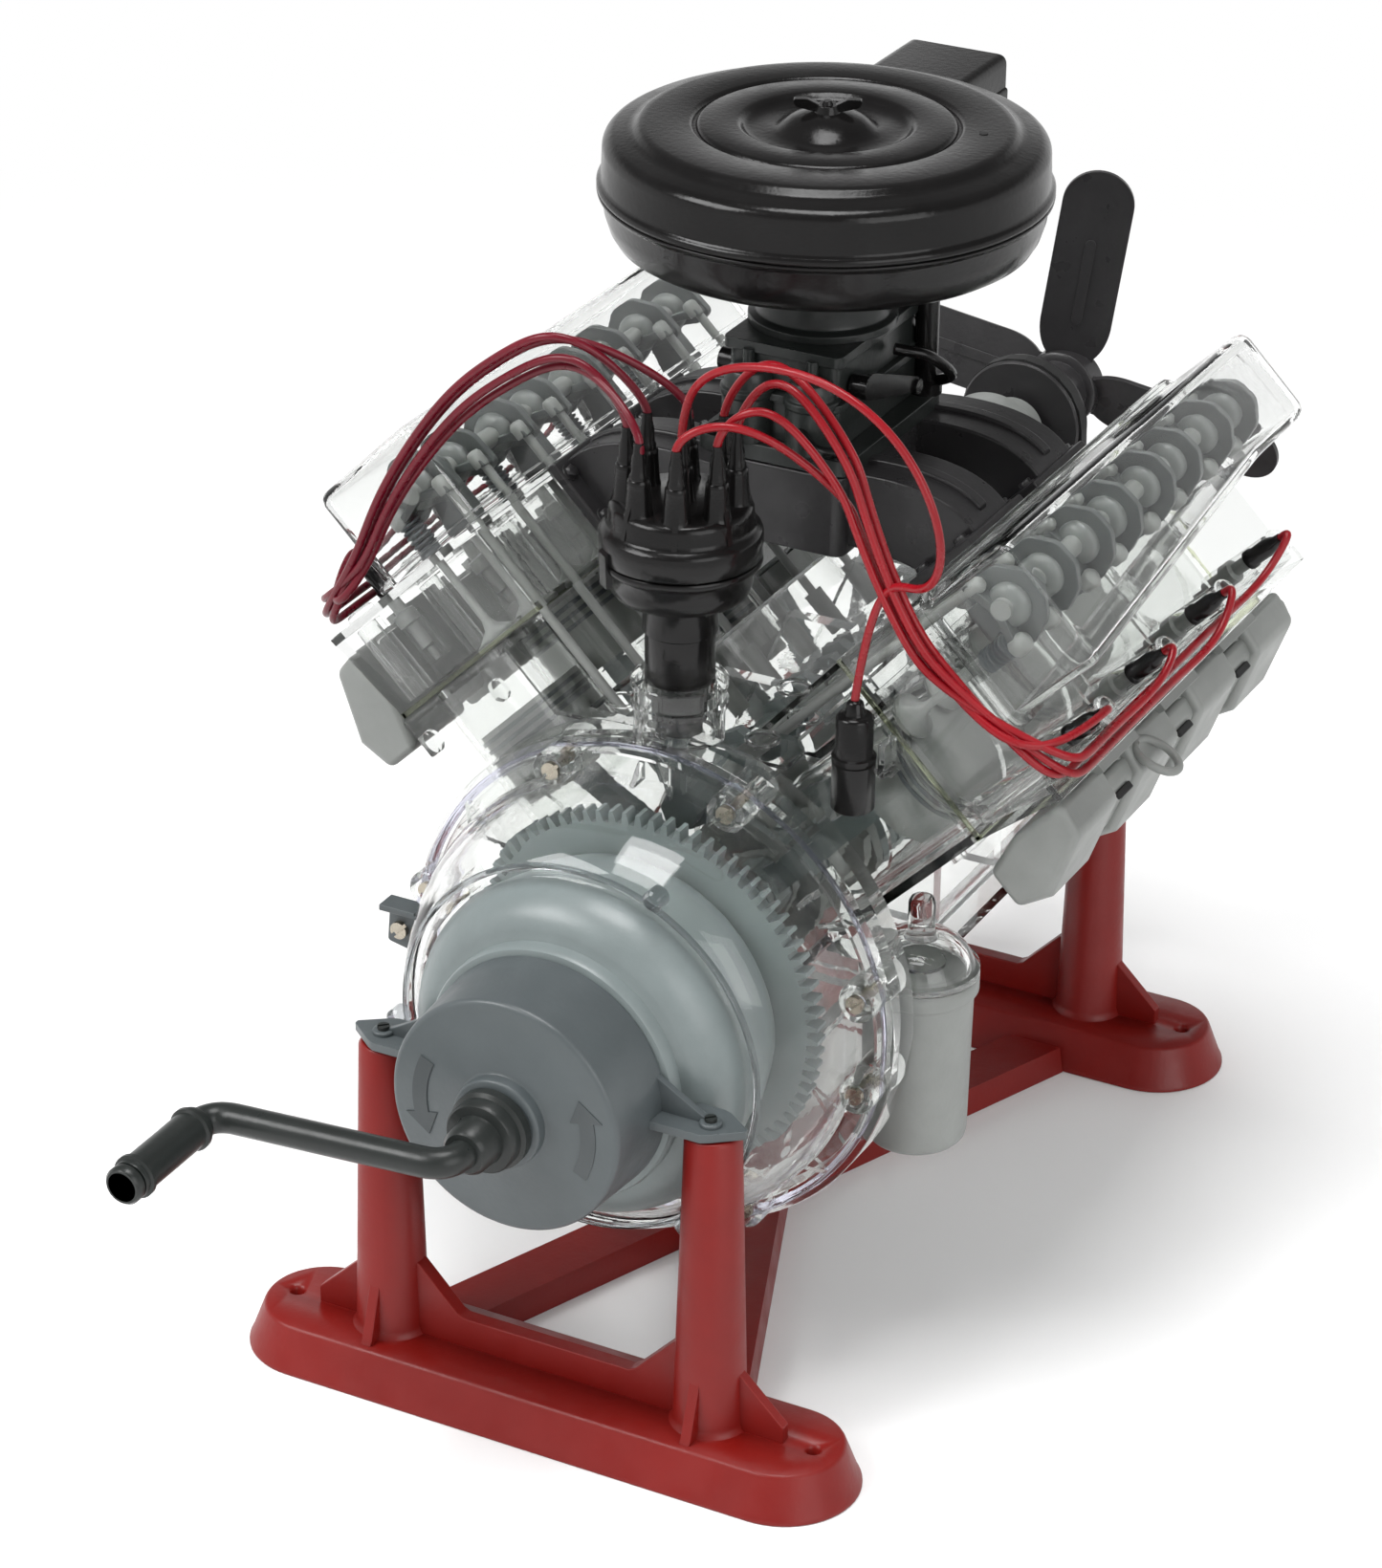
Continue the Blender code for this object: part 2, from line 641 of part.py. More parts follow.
def bank_start(side):
    return BLOCK_START + (BANK_STAGGER if side > 0 else 0)


def cylinder_y(side, number):
    return bank_start(side) + BORE_PITCH * (number + 0.5)


def throw_y(number):
    return BLOCK_START + BANK_STAGGER / 2 + BORE_PITCH * (number + 0.5)


def on_crank(y):
    return Vector((0, y, CRANK_HEIGHT))


def on_cam(y):
    return Vector((0, y, CRANK_HEIGHT + CAM_HEIGHT))


def on_distributor(z):
    return Vector((0, DISTRIBUTOR_Y, z))


# Stand

def foot_plate(y):
    """The foot's drafted plate with round ends, lofted from its underside to its top face."""
    built = bmesh.new()
    rings = []
    for grow, z in ((FOOT_FLARE, 0), (0, FOOT_HEIGHT)):
        straight = FOOT_HALF_LENGTH - FOOT_HALF_WIDTH
        outline = (arc((straight, y), FOOT_HALF_WIDTH + grow, -90, 90, COARSE)
                   + arc((-straight, y), FOOT_HALF_WIDTH + grow, 90, 270, COARSE))
        rings.append([built.verts.new((px, py, z)) for px, py in outline])
    count = len(rings[0])
    for i in range(count):
        after = (i + 1) % count
        built.faces.new((rings[0][i], rings[0][after], rings[1][after], rings[1][i]))
    built.faces.new(rings[0])
    built.faces.new(rings[1])
    return from_bmesh(built, "foot_plate")


def foot(name, y, facing):
    """A foot with its two posts; facing is the side that its small ribs stand on."""
    parts = [foot_plate(y)]
    sunk = FOOT_HEIGHT / 2
    half = RIB_THICKNESS / 2
    for turn in (1, -1):
        x = turn * POST_OFFSET
        parts.append(rod((x, y, sunk), (x, y, POST_TOP), POST_BASE_RADIUS, POST_TOP_RADIUS))
        reach = [(x, sunk), (x + turn * RIB_REACH, sunk), (x + turn * RIB_REACH, FOOT_HEIGHT + RIB_TOE),
                 (x + turn * POST_TOP_RADIUS, FOOT_HEIGHT + RIB_HEIGHT), (x, FOOT_HEIGHT + RIB_HEIGHT)]
        parts.append(prism(reach, y - half, y + half))
        small = prism([(0, sunk), (SIDE_RIB_REACH, sunk), (SIDE_RIB_REACH, FOOT_HEIGHT),
                       (POST_TOP_RADIUS, FOOT_HEIGHT + WEB_HIGH), (0, FOOT_HEIGHT + WEB_HIGH)], -half, half)
        parts.append(moved(small, Matrix.Translation((x, y, 0))
                           @ Matrix.Rotation(facing * math.radians(90), 4, "Z")))
    run = POST_OFFSET - POST_BASE_RADIUS
    high, low = FOOT_HEIGHT + WEB_HIGH, FOOT_HEIGHT + WEB_LOW
    web = [(-POST_OFFSET, sunk), (POST_OFFSET, sunk), (POST_OFFSET, high), (run, high),
           (run - WEB_SLOPE_RUN, low), (WEB_SLOPE_RUN - run, low), (-run, high), (-POST_OFFSET, high)]
    parts.append(prism(web, y - WEB_THICKNESS / 2, y + WEB_THICKNESS / 2))
    holes = [rod((turn * SCREW_HOLE_OFFSET, y, -OVERRUN),
                 (turn * SCREW_HOLE_OFFSET, y, FOOT_HEIGHT + OVERRUN),
                 SCREW_HOLE_RADIUS, sides=COARSE) for turn in (1, -1)]
    return finish(cut(union(parts), holes), name, RED)


def beam(name, turn, lapped_low):
    """A flat bar from one foot to the other, halved where the two bars cross."""
    angle = math.atan2(turn * 2 * POST_OFFSET, FOOT_SPACING)
    half = BEAM_WIDTH / 2
    reach = math.hypot(2 * POST_OFFSET, FOOT_SPACING) / 2
    middle = Matrix.Translation((0, FOOT_SPACING / 2, 0))
    section = [(-half, 0), (half, 0), (half - BEAM_DRAFT, BEAM_HEIGHT), (BEAM_DRAFT - half, BEAM_HEIGHT)]
    bar = moved(prism(section, -reach, reach), middle @ Matrix.Rotation(-angle, 4, "Z"))
    edge = FOOT_HALF_WIDTH + FOOT_FLARE + FIT
    wide = half + FIT
    low, high = (-OVERRUN, (BEAM_HEIGHT + FIT) / 2) if lapped_low else ((BEAM_HEIGHT - FIT) / 2, FOOT_HEIGHT)
    lap = prism([(-wide, low), (wide, low), (wide, high), (-wide, high)], -reach / 2, reach / 2)
    trims = [box((-FOOT_HALF_LENGTH, y - edge, -OVERRUN), (FOOT_HALF_LENGTH, y + edge, FOOT_HEIGHT))
             for y in (0, FOOT_SPACING)]
    return finish(cut(bar, trims + [moved(lap, middle @ Matrix.Rotation(angle, 4, "Z"))]), name, RED)


# Crankshaft, which turns with the hand crank

def throw_offset(number):
    turn = math.radians(THROW_ANGLES[number])
    return Vector((THROW * math.cos(turn), 0, THROW * math.sin(turn)))


def crank_web(number, y):
    """A web with its counterweight, from y to y plus its thickness."""
    turn = THROW_ANGLES[number]
    tip = throw_offset(number)
    head, tail = WEB_HEAD_ANGLE, WEB_TAIL_ANGLE
    outline = (arc((tip.x, CRANK_HEIGHT + tip.z), BIG_END_RADIUS, turn - head, turn + head, SMALL)
               + arc((0, CRANK_HEIGHT), COUNTERWEIGHT_RADIUS, turn + 180 - tail, turn + 180 + tail, SMALL))
    return prism(outline, y, y + WEB_PLATE)


def crankshaft_sections(parent):
    """The five runs of journal and web that the four throws lie between."""
    half = ROD_SLICE + FIT
    last = CYLINDERS
    for number in range(CYLINDERS + 1):
        start = throw_y(number - 1) + half if number else FLYWHEEL_FRONT + FLYWHEEL_THICKNESS + FIT
        stop = throw_y(number) - half if number < last else PULLEY_BACK - FIT
        parts = [rod(on_crank(start), on_crank(stop), MAIN_RADIUS)]
        if number:
            parts.append(crank_web(number - 1, start))
        if number < last:
            parts.append(crank_web(number, stop - WEB_PLATE))
        else:
            parts.append(rod(on_crank(CHAIN_Y - CHAIN_WIDTH / 2), on_crank(CHAIN_Y + CHAIN_WIDTH / 2),
                             SPROCKET_RADIUS))
        finish(union(parts), f"crankshaft_section_{number + 1}", LIGHT_GREY, on_crank(start), parent)


def flywheel(parent):
    """The ring gear with the shaft that runs through the drum to the hand crank."""
    step = 360 / TOOTH_COUNT
    radii = (FLYWHEEL_ROOT, FLYWHEEL_TIP, FLYWHEEL_TIP, FLYWHEEL_ROOT)
    outline = []
    for tooth in range(TOOTH_COUNT):
        for share, radius in zip(TOOTH_SHARES, radii):
            turn = math.radians((tooth + share) * step)
            outline.append((radius * math.cos(turn), CRANK_HEIGHT + radius * math.sin(turn)))
    wheel = prism(outline, FLYWHEEL_FRONT, FLYWHEEL_FRONT + FLYWHEEL_THICKNESS)
    shaft = rod(on_crank(HUB_BACK + FIT), on_crank(FLYWHEEL_FRONT + FLYWHEEL_THICKNESS / 2), SHAFT_RADIUS)
    return finish(union([wheel, shaft]), "flywheel_ring_gear", MID_GREY, on_crank(FLYWHEEL_FRONT), parent)


def elbow(before, corner, after):
    """Points of the bar's bend at a corner."""
    start = corner + (before - corner).normalized() * CRANK_ELBOW
    stop = corner + (after - corner).normalized() * CRANK_ELBOW
    return curve(start, corner, stop, SMALL)


def handle_root():
    return Vector((-CRANK_REACH, CRANK_ARM_Y, CRANK_HEIGHT - CRANK_DROP))


def hand_crank(parent):
    """The rod, bent once to the arm and once to the handle, on its hub."""
    start = on_crank(HUB_BACK - HUB_LENGTH / 2)
    corner = on_crank(CRANK_ARM_Y)
    turn = handle_root()
    end = turn - Vector((0, HANDLE_LENGTH, 0))
    bar = tube([start] + elbow(start, corner, turn) + elbow(corner, turn, end) + [end], CRANK_ROD_RADIUS, 3)
    hub = rod(on_crank(HUB_BACK), on_crank(HUB_BACK - HUB_LENGTH), HUB_RADIUS)
    neck = rod(start, on_crank(CRANK_ARM_Y + CRANK_ELBOW), NECK_RADIUS)
    stop = rod(turn - Vector((0, GRIP_START + GRIP_LENGTH + FIT, 0)), end, GRIP_RADIUS)
    return finish(union([hub, neck, bar, stop]), "hand_crank", DARK_GREY, corner, parent)


def crank_grip(parent):
    """The loose sleeve on the handle, with a ring near each end."""
    inner = CRANK_ROD_RADIUS + RUNNING
    end = GRIP_START + GRIP_LENGTH
    ring = GRIP_RING * 2
    proud = GRIP_RADIUS + GRIP_RING
    profile = [(inner, end), (GRIP_RADIUS, end), (GRIP_RADIUS, end - ring), (proud, end - ring * 2),
               (GRIP_RADIUS, end - ring * 3), (GRIP_RADIUS, GRIP_START + ring * 3),
               (proud, GRIP_START + ring * 2), (GRIP_RADIUS, GRIP_START + ring), (GRIP_RADIUS, GRIP_START),
               (inner, GRIP_START)]
    return finish(turned(profile, handle_root(), "-Y"), "crank_grip", DARK_GREY, handle_root(), parent)


# Housings at the hand crank

def rest_arms(y, inside, back, depth_behind):
    """Two flat arms that rest on the tops of a pair of posts."""
    seat = POST_TOP + FIT
    arms = []
    for turn in (1, -1):
        outline = [(turn * inside, y - ARM_HALF_DEPTH), (turn * POST_OFFSET, y - ARM_HALF_DEPTH),
                   (turn * ARM_TIP, y), (turn * POST_OFFSET, y + depth_behind),
                   (turn * (POST_OFFSET - POST_TOP_RADIUS), y + depth_behind), (turn * back, y + DRUM_REAR),
                   (turn * inside, y + DRUM_REAR)]
        arms.append(slab(outline, seat, seat + ARM_THICKNESS))
    return arms


def drum_housing():
    """The drum that carries the crank, with the two arms that rest on the posts."""
    depth = DRUM_REAR - DRUM_FRONT
    bore = SHAFT_RADIUS + RUNNING
    profile = [(bore, depth + DRUM_BOSS_LENGTH), (DRUM_BOSS_RADIUS, depth + DRUM_BOSS_LENGTH),
               (DRUM_BOSS_RADIUS, depth), (DRUM_FRONT_RADIUS - DRUM_EDGE, depth),
               (DRUM_FRONT_RADIUS, depth - DRUM_EDGE), (DRUM_REAR_RADIUS, 0), (bore, 0)]
    parts = [turned(profile, on_crank(DRUM_REAR), "-Y", FINE)]
    seat = POST_TOP + FIT
    inside = DRUM_FRONT_RADIUS - OVERRUN
    for turn in (1, -1):
        rib = [(turn * inside, seat), (turn * POST_OFFSET, seat), (turn * POST_OFFSET, seat + ARM_THICKNESS),
               (turn * inside, seat + ARM_RIB_RISE)]
        parts.append(prism(rib, DRUM_REAR - ARM_RIB, DRUM_REAR))
    parts += rest_arms(0, inside, GEAR_BELL_COLLAR + FIT * 2, ARM_HALF_DEPTH * ARM_BACK_SHARE)
    return finish(union(parts), "drum_housing", DARK_GREY)


def gear_bell():
    """The bell that widens from the drum to the flywheel."""
    start = DRUM_REAR + FIT
    length = GEAR_BELL_END - start
    shoulder = GEAR_BELL_END - GEAR_BELL_SHOULDER_AT
    collar_end = length - GEAR_BELL_COLLAR_LENGTH
    bore = SHAFT_RADIUS + RUNNING
    profile = [(bore, length), (GEAR_BELL_COLLAR - DRUM_EDGE, length), (GEAR_BELL_COLLAR, length - DRUM_EDGE),
               (GEAR_BELL_COLLAR, collar_end)]
    for back, out in arc((0, 0), 1, *GEAR_BELL_ANGLES, SMALL):
        profile.append((GEAR_BELL_COLLAR + (GEAR_BELL_SHOULDER - GEAR_BELL_COLLAR) * out,
                        collar_end - (collar_end - shoulder) * (1 - back)))
    profile += [(GEAR_BELL_SHOULDER - DRUM_EDGE, shoulder / 2), (GEAR_BELL_WAIST, 0), (bore, 0)]
    return finish(turned(profile, on_crank(GEAR_BELL_END), "-Y", FINE), "gear_bell", MID_GREY)


def clear_bell():
    """The clear cone over the flywheel, with the lugs for its screws."""
    depth = CLEAR_BELL_END - CLEAR_BELL_START
    step = CLEAR_BELL_END - CLEAR_BELL_STEP
    waist = (CLEAR_BELL_RIM + CLEAR_BELL_SKIRT) / 2 + CLEAR_BELL_BULGE
    halfway = (depth + step) / 2
    profile = [(CLEAR_BELL_RIM - BELL_WALL, depth), (CLEAR_BELL_RIM, depth), (waist, halfway),
               (CLEAR_BELL_SKIRT, step), (CLEAR_BELL_FLANGE, step), (CLEAR_BELL_FLANGE, 0),
               (CLEAR_BELL_SKIRT - BELL_WALL, 0), (CLEAR_BELL_SKIRT - BELL_WALL, step),
               (waist - BELL_WALL, halfway)]
    parts = [turned(profile, on_crank(CLEAR_BELL_END), "-Y", FINE)]
    for x, z in (arc((0, CRANK_HEIGHT), LUG_CIRCLE, degrees, degrees, 1)[0] for degrees in LUG_ANGLES):
        parts.append(rod((x, CLEAR_BELL_STEP - OVERRUN, z), (x, CLEAR_BELL_END - FIT, z), LUG_RADIUS,
                         sides=COARSE))
    return finish(union(parts), "bell_housing", CLEAR)


# Engine block

def case_outline(inset):
    """The crankcase and the two banks seen along the crankshaft, cut back by an inset."""
    lean = math.sin(BANK_ANGLE)
    outer, inner, deck = BANK_OUTER - inset, BANK_INNER - inset, DECK_HEIGHT - inset
    floor = -CASE_FLOOR - (OVERRUN if inset else 0)
    side = CASE_HALF_WIDTH - inset
    valley = VALLEY_HEIGHT - inset
    right = [(side, floor), (side, side - outer / lean), (lean * (deck + outer), lean * (deck - outer)),
             (lean * (deck - inner), lean * (deck + inner)), (valley - inner / lean, valley)]
    return [(x, CRANK_HEIGHT + z) for x, z in right + [(-x, z) for x, z in reversed(right)]]


def bank_trim(side, start, stop, floor):
    """A cutter that shortens one bank between two places along the crankshaft, above a floor."""
    trim = box((-BANK_INNER - OVERRUN, start, floor),
               (BANK_OUTER + OVERRUN, stop, DECK_HEIGHT + OVERRUN))
    return to_bank(side, trim)


def bulkhead(y):
    """A plate across the case that carries the crankshaft and the camshaft."""
    side = CASE_HALF_WIDTH - WALL / 2
    top = VALLEY_TOP - WALL / 2
    neck = CAM_RADIUS * BULKHEAD_NECK_SHARE
    floor = CRANK_HEIGHT - CASE_FLOOR + WALL
    outline = [(side, floor), (side, CRANK_HEIGHT), (neck, top), (-neck, top), (-side, CRANK_HEIGHT),
               (-side, floor)]
    return prism(outline, y - BULKHEAD / 2, y + BULKHEAD / 2)


def engine_block():
    """The clear block: case, banks, bulkheads, liners and the adapter plate for the bell."""
    near, far = BLOCK_START, BLOCK_END
    whole = cut(prism(case_outline(0), near, far),
                [bank_trim(1, near - OVERRUN, near + BANK_STAGGER, CASE_HALF_WIDTH),
                 bank_trim(-1, far - BANK_STAGGER, far + OVERRUN, CASE_HALF_WIDTH)])
    hollow = cut(prism(case_outline(WALL), near + WALL, far - WALL),
                 [bank_trim(1, near - OVERRUN, near + BANK_STAGGER + WALL, CASE_HALF_WIDTH - WALL),
                  bank_trim(-1, far - BANK_STAGGER - WALL, far + OVERRUN, CASE_HALF_WIDTH - WALL)])
    parts = [cut(whole, [hollow])]
    parts += [bulkhead(throw_y(number) - BORE_PITCH / 2) for number in range(1, CYLINDERS)]
    holes = []
    for _, side in SIDES:
        for number in range(CYLINDERS):
            y = cylinder_y(side, number)
            parts.append(rod(bank_point(side, 0, y, LINER_FOOT),
                             bank_point(side, 0, y, DECK_HEIGHT - WALL / 2), BORE_RADIUS + LINER_WALL))
            holes.append(rod(bank_point(side, 0, y, LINER_FOOT - OVERRUN * 2),
                             bank_point(side, 0, y, DECK_HEIGHT + OVERRUN), BORE_RADIUS))
        slot = side * (VALLEY_HEIGHT - CAM_HEIGHT)
        half = LIFTER_RADIUS * 2
        start = bank_start(side) + BORE_PITCH / 2 - ROCKER_SPREAD - half
        stop = start + BORE_PITCH * (CYLINDERS - 1) + (ROCKER_SPREAD + half) * 2
        holes.append(box((slot - half, start, VALLEY_TOP - WALL * 2),
                         (slot + half, stop, VALLEY_TOP + OVERRUN)))
    seat = CLEAR_BELL_END + FIT
    rim = near - seat - WALL / 4
    parts.append(turned([(ADAPTER_RADIUS - ADAPTER_RIM, rim), (ADAPTER_RADIUS, rim), (ADAPTER_RADIUS, 0),
                         (ADAPTER_RADIUS - ADAPTER_RIM, 0)], on_crank(seat), "Y", FINE))
    parts.append(turned([(0, WALL), (ADAPTER_RADIUS, WALL), (ADAPTER_RADIUS, 0), (0, 0)],
                        on_crank(near - WALL / 2), "Y", FINE))
    parts.append(rod(on_distributor(VALLEY_TOP - WALL / 2), on_distributor(BOSS_TOP), BOSS_RADIUS))
    holes.append(rod(on_crank(seat - OVERRUN), on_crank(far + OVERRUN), MAIN_RADIUS + RUNNING))
    holes.append(rod(on_cam(CAM_START - FIT), on_cam(far + OVERRUN), CAM_RADIUS + RUNNING))
    holes.append(rod(on_distributor(VALLEY_TOP + FIT), on_distributor(BOSS_TOP + OVERRUN),
                     DISTRIBUTOR_NECK_RADIUS + FIT))
    holes.append(rod(on_cam(DISTRIBUTOR_Y) + Vector((0, 0, CAM_GEAR_RADIUS)),
                     on_distributor(VALLEY_TOP + OVERRUN), ROTOR_SHAFT + RUNNING, sides=COARSE))
    return finish(cut(union(parts), holes), "engine_block", CLEAR)


# Heads, valve gear and covers

def cylinder_head(label, side):
    start = bank_start(side) + HEAD_SETBACK
    end = start + HEAD_LENGTH
    inner = -HEAD_INNER
    shell = prism([(inner, HEAD_BASE), (BANK_OUTER, HEAD_BASE), (HEAD_OUTER, HEAD_TOP), (inner, HEAD_TOP)],
                  start, end)
    hollow = prism([(inner + WALL, HEAD_BASE + WALL), (BANK_OUTER - WALL, HEAD_BASE + WALL),
                    (HEAD_OUTER - WALL, HEAD_TOP - WALL), (inner + WALL, HEAD_TOP - WALL)],
                   start + WALL, end - WALL)
    slot = box((inner + WALL, start + WALL * 2, HEAD_BASE - OVERRUN),
               (inner + WALL + PUSHROD_SLOT, end - WALL * 2, HEAD_TOP + OVERRUN))
    return finish(to_bank(side, cut(shell, [slot, hollow])), f"cylinder_head_{label}", CLEAR)


def cover_outline(side, inset):
    """The cover seen along the bores, as (outward, along the bank); on the right it narrows to the fan."""
    start = bank_start(side) + COVER_SETBACK
    end = start + COVER_LENGTH
    inner, wide, narrow = inset - COVER_INNER, COVER_WIDE - inset, COVER_NARROW - inset
    if side < 0:
        return [(inner, start + inset), (wide, start + inset), (wide, end - inset), (inner, end - inset)]
    straight = end - COVER_LENGTH * COVER_STRAIGHT_SHARE
    return [(inner, start + inset), (wide, start + inset), (narrow, straight), (narrow, end - inset),
            (inner, end - inset)]


def valve_cover(label, side):
    base = HEAD_TOP + FIT
    top = base + COVER_HEIGHT
    shell = slab(cover_outline(side, 0), base + COVER_WALL / 2, top)
    shell = bevelled(shell, COVER_HEIGHT * COVER_ROUND_SHARE)
    lip = slab(cover_outline(side, -COVER_LIP), base, base + COVER_WALL)
    hollow = slab(cover_outline(side, COVER_WALL), base - OVERRUN, top - COVER_WALL)
    return finish(to_bank(side, cut(union([shell, lip]), [hollow])), f"valve_cover_{label}", CLEAR)


def rocker_gear(label, side):
    """One bank's rocker shaft with its stands, rockers, springs, pushrods and lifters."""
    shaft = HEAD_TOP + ROCKER_SHAFT_RISE
    seat = HEAD_TOP + FIT
    push = CAM_HEIGHT * math.sin(BANK_ANGLE)
    foot_at = push + LOBE_RADIUS + LOBE_OFFSET + RUNNING
    reach = ROCKER_SPREAD + ROCKER_THICKNESS / 2 + FIT
    parts = [rod((-ROCKER_SHAFT_AT, cylinder_y(side, 0) - reach, shaft),
                 (-ROCKER_SHAFT_AT, cylinder_y(side, CYLINDERS - 1) + reach, shaft),
                 ROCKER_SHAFT_RADIUS, sides=SMALL)]
    outline = spread(ROCKER_SHARES, (-push - PUSHROD_RADIUS * 2, HEAD_TOP + SPRING_HEIGHT),
                     (SPRING_RADIUS - VALVE_AT, shaft + ROCKER_TOP))
    for number in range(CYLINDERS):
        middle = cylinder_y(side, number)
        half = ROCKER_SHAFT_RADIUS * ROCKER_STAND_SHARE
        top = shaft + ROCKER_SHAFT_RADIUS / 2
        stand = [(-ROCKER_SHAFT_AT - half, seat), (-VALVE_AT, seat), (half - ROCKER_SHAFT_AT, top),
                 (-ROCKER_SHAFT_AT - half, top)]
        parts.append(prism(stand, middle - ROCKER_SHAFT_RADIUS, middle + ROCKER_SHAFT_RADIUS))
        for turn in (-1, 1):
            y = middle + turn * ROCKER_SPREAD
            parts.append(prism(outline, y - ROCKER_THICKNESS / 2, y + ROCKER_THICKNESS / 2))
            parts.append(rod((-VALVE_AT, y, seat), (-VALVE_AT, y, seat + SPRING_HEIGHT), SPRING_RADIUS,
                             sides=SMALL))
            parts.append(rod((-push, y, foot_at + LIFTER_LENGTH / 2), (-push, y, shaft), PUSHROD_RADIUS,
                             sides=TINY))
            parts.append(rod((-push, y, foot_at), (-push, y, foot_at + LIFTER_LENGTH), LIFTER_RADIUS,
                             sides=SMALL))
    return finish(to_bank(side, union(parts)), f"rocker_gear_{label}", MID_GREY)


def exhaust_manifold(label, side):
    """The log along the outside of a head, which swells at each cylinder, with a plate at each port."""
    start = bank_start(side) + EXHAUST_SETBACK
    face = HEAD_OUTER + FIT
    low, high = (face, EXHAUST_BOTTOM), (EXHAUST_OUTER, EXHAUST_TOP)
    parts = [prism(spread(LOG_SHARES, low, high), start, start + EXHAUST_LENGTH)]
    half = BORE_PITCH * BULGE_SHARE / 2
    for number in range(CYLINDERS):
        y = cylinder_y(side, number)
        parts.append(bevelled(prism(spread(BULGE_SHARES, low, high), y - half, y + half), PORT_PLATE / 2))
    plate = spread(((0, 1), (1, 1), (1, 0), (0, 0)), (face, HEAD_BASE + PORT_PLATE),
                   (face + PORT_PLATE, EXHAUST_TOP))
    for number in range(1, CYLINDERS):
        y = cylinder_y(side, number) - BORE_PITCH / 2
        parts.append(prism(plate, y - PORT_WIDTH / 2, y + PORT_WIDTH / 2))
    return finish(to_bank(side, union(parts)), f"exhaust_manifold_{label}", LIGHT_GREY)


# Pistons and rods

def wrist_height(side, number):
    """How far the wrist pin is from the crankshaft along the bore, for the throw's place at rest."""
    throw = throw_offset(number)
    lean = math.sin(BANK_ANGLE)
    along = lean * (side * throw.x + throw.z)
    across = lean * (side * throw.x - throw.z)
    return along + math.sqrt(ROD_LENGTH ** 2 - across ** 2)


def piston(label, side, number, carrier):
    """A hollow piston with its wrist pin."""
    inner = PISTON_RADIUS - PISTON_WALL
    skirt = CROWN_TO_WRIST - PISTON_LENGTH
    profile = [(0, CROWN_TO_WRIST), (PISTON_RADIUS, CROWN_TO_WRIST), (PISTON_RADIUS, skirt), (inner, skirt),
               (inner, CROWN_TO_WRIST - CROWN_THICKNESS), (0, CROWN_TO_WRIST - CROWN_THICKNESS)]
    reach = PISTON_RADIUS - PISTON_WALL / 2
    pin = rod((0, -reach, 0), (0, reach, 0), WRIST_RADIUS, sides=SMALL)
    body = union([turned(profile, (0, 0, 0)), pin])
    lean = Matrix.Translation(carrier.location) @ Matrix.Rotation(side * BANK_ANGLE, 4, "Y")
    finish(moved(body, lean), f"piston_{label}_{number + 1}", LIGHT_GREY, carrier.location, carrier)


def connecting_rod(label, side, number, carrier):
    """A rod from the wrist pin to its own half of the crankpin, which it carries."""
    middle = throw_y(number) + side * ROD_SLICE / 2
    wrist = Vector((carrier.location.x, middle, carrier.location.z))
    pin = throw_offset(number) + on_crank(middle)

    def across(place, half, radius, sides):
        return rod(place - Vector((0, half, 0)), place + Vector((0, half, 0)), radius, sides=sides)

    length = (wrist - pin).length
    lean = math.atan2(wrist.x - pin.x, wrist.z - pin.z)
    shank = prism([(-ROD_WIDE / 2, PIN_RADIUS), (ROD_WIDE / 2, PIN_RADIUS),
                   (ROD_NARROW / 2, length - WRIST_RADIUS), (-ROD_NARROW / 2, length - WRIST_RADIUS)],
                  -ROD_PLATE / 2, ROD_PLATE / 2)
    shank = moved(shank, Matrix.Translation(pin) @ Matrix.Rotation(lean, 4, "Y"))
    half = (ROD_SLICE - FIT) / 2
    parts = [across(pin, half - FIT, BIG_END_RADIUS, COARSE), across(pin, half, PIN_RADIUS, SMALL), shank,
             across(wrist, ROD_NARROW / 2, SMALL_END_RADIUS, SMALL)]
    whole = cut(union(parts), [across(wrist, PISTON_RADIUS, WRIST_RADIUS + RUNNING, SMALL)])
    finish(whole, f"connecting_rod_{label}_{number + 1}", MID_GREY, wrist, carrier)


def pistons_and_rods():
    for label, side in SIDES:
        for number in range(CYLINDERS):
            place = bank_point(side, 0, cylinder_y(side, number), wrist_height(side, number))
            carrier = pivot(f"piston_slide_{label}_{number + 1}", place)
            piston(label, side, number, carrier)
            connecting_rod(label, side, number, carrier)


# Camshaft, chain and front end

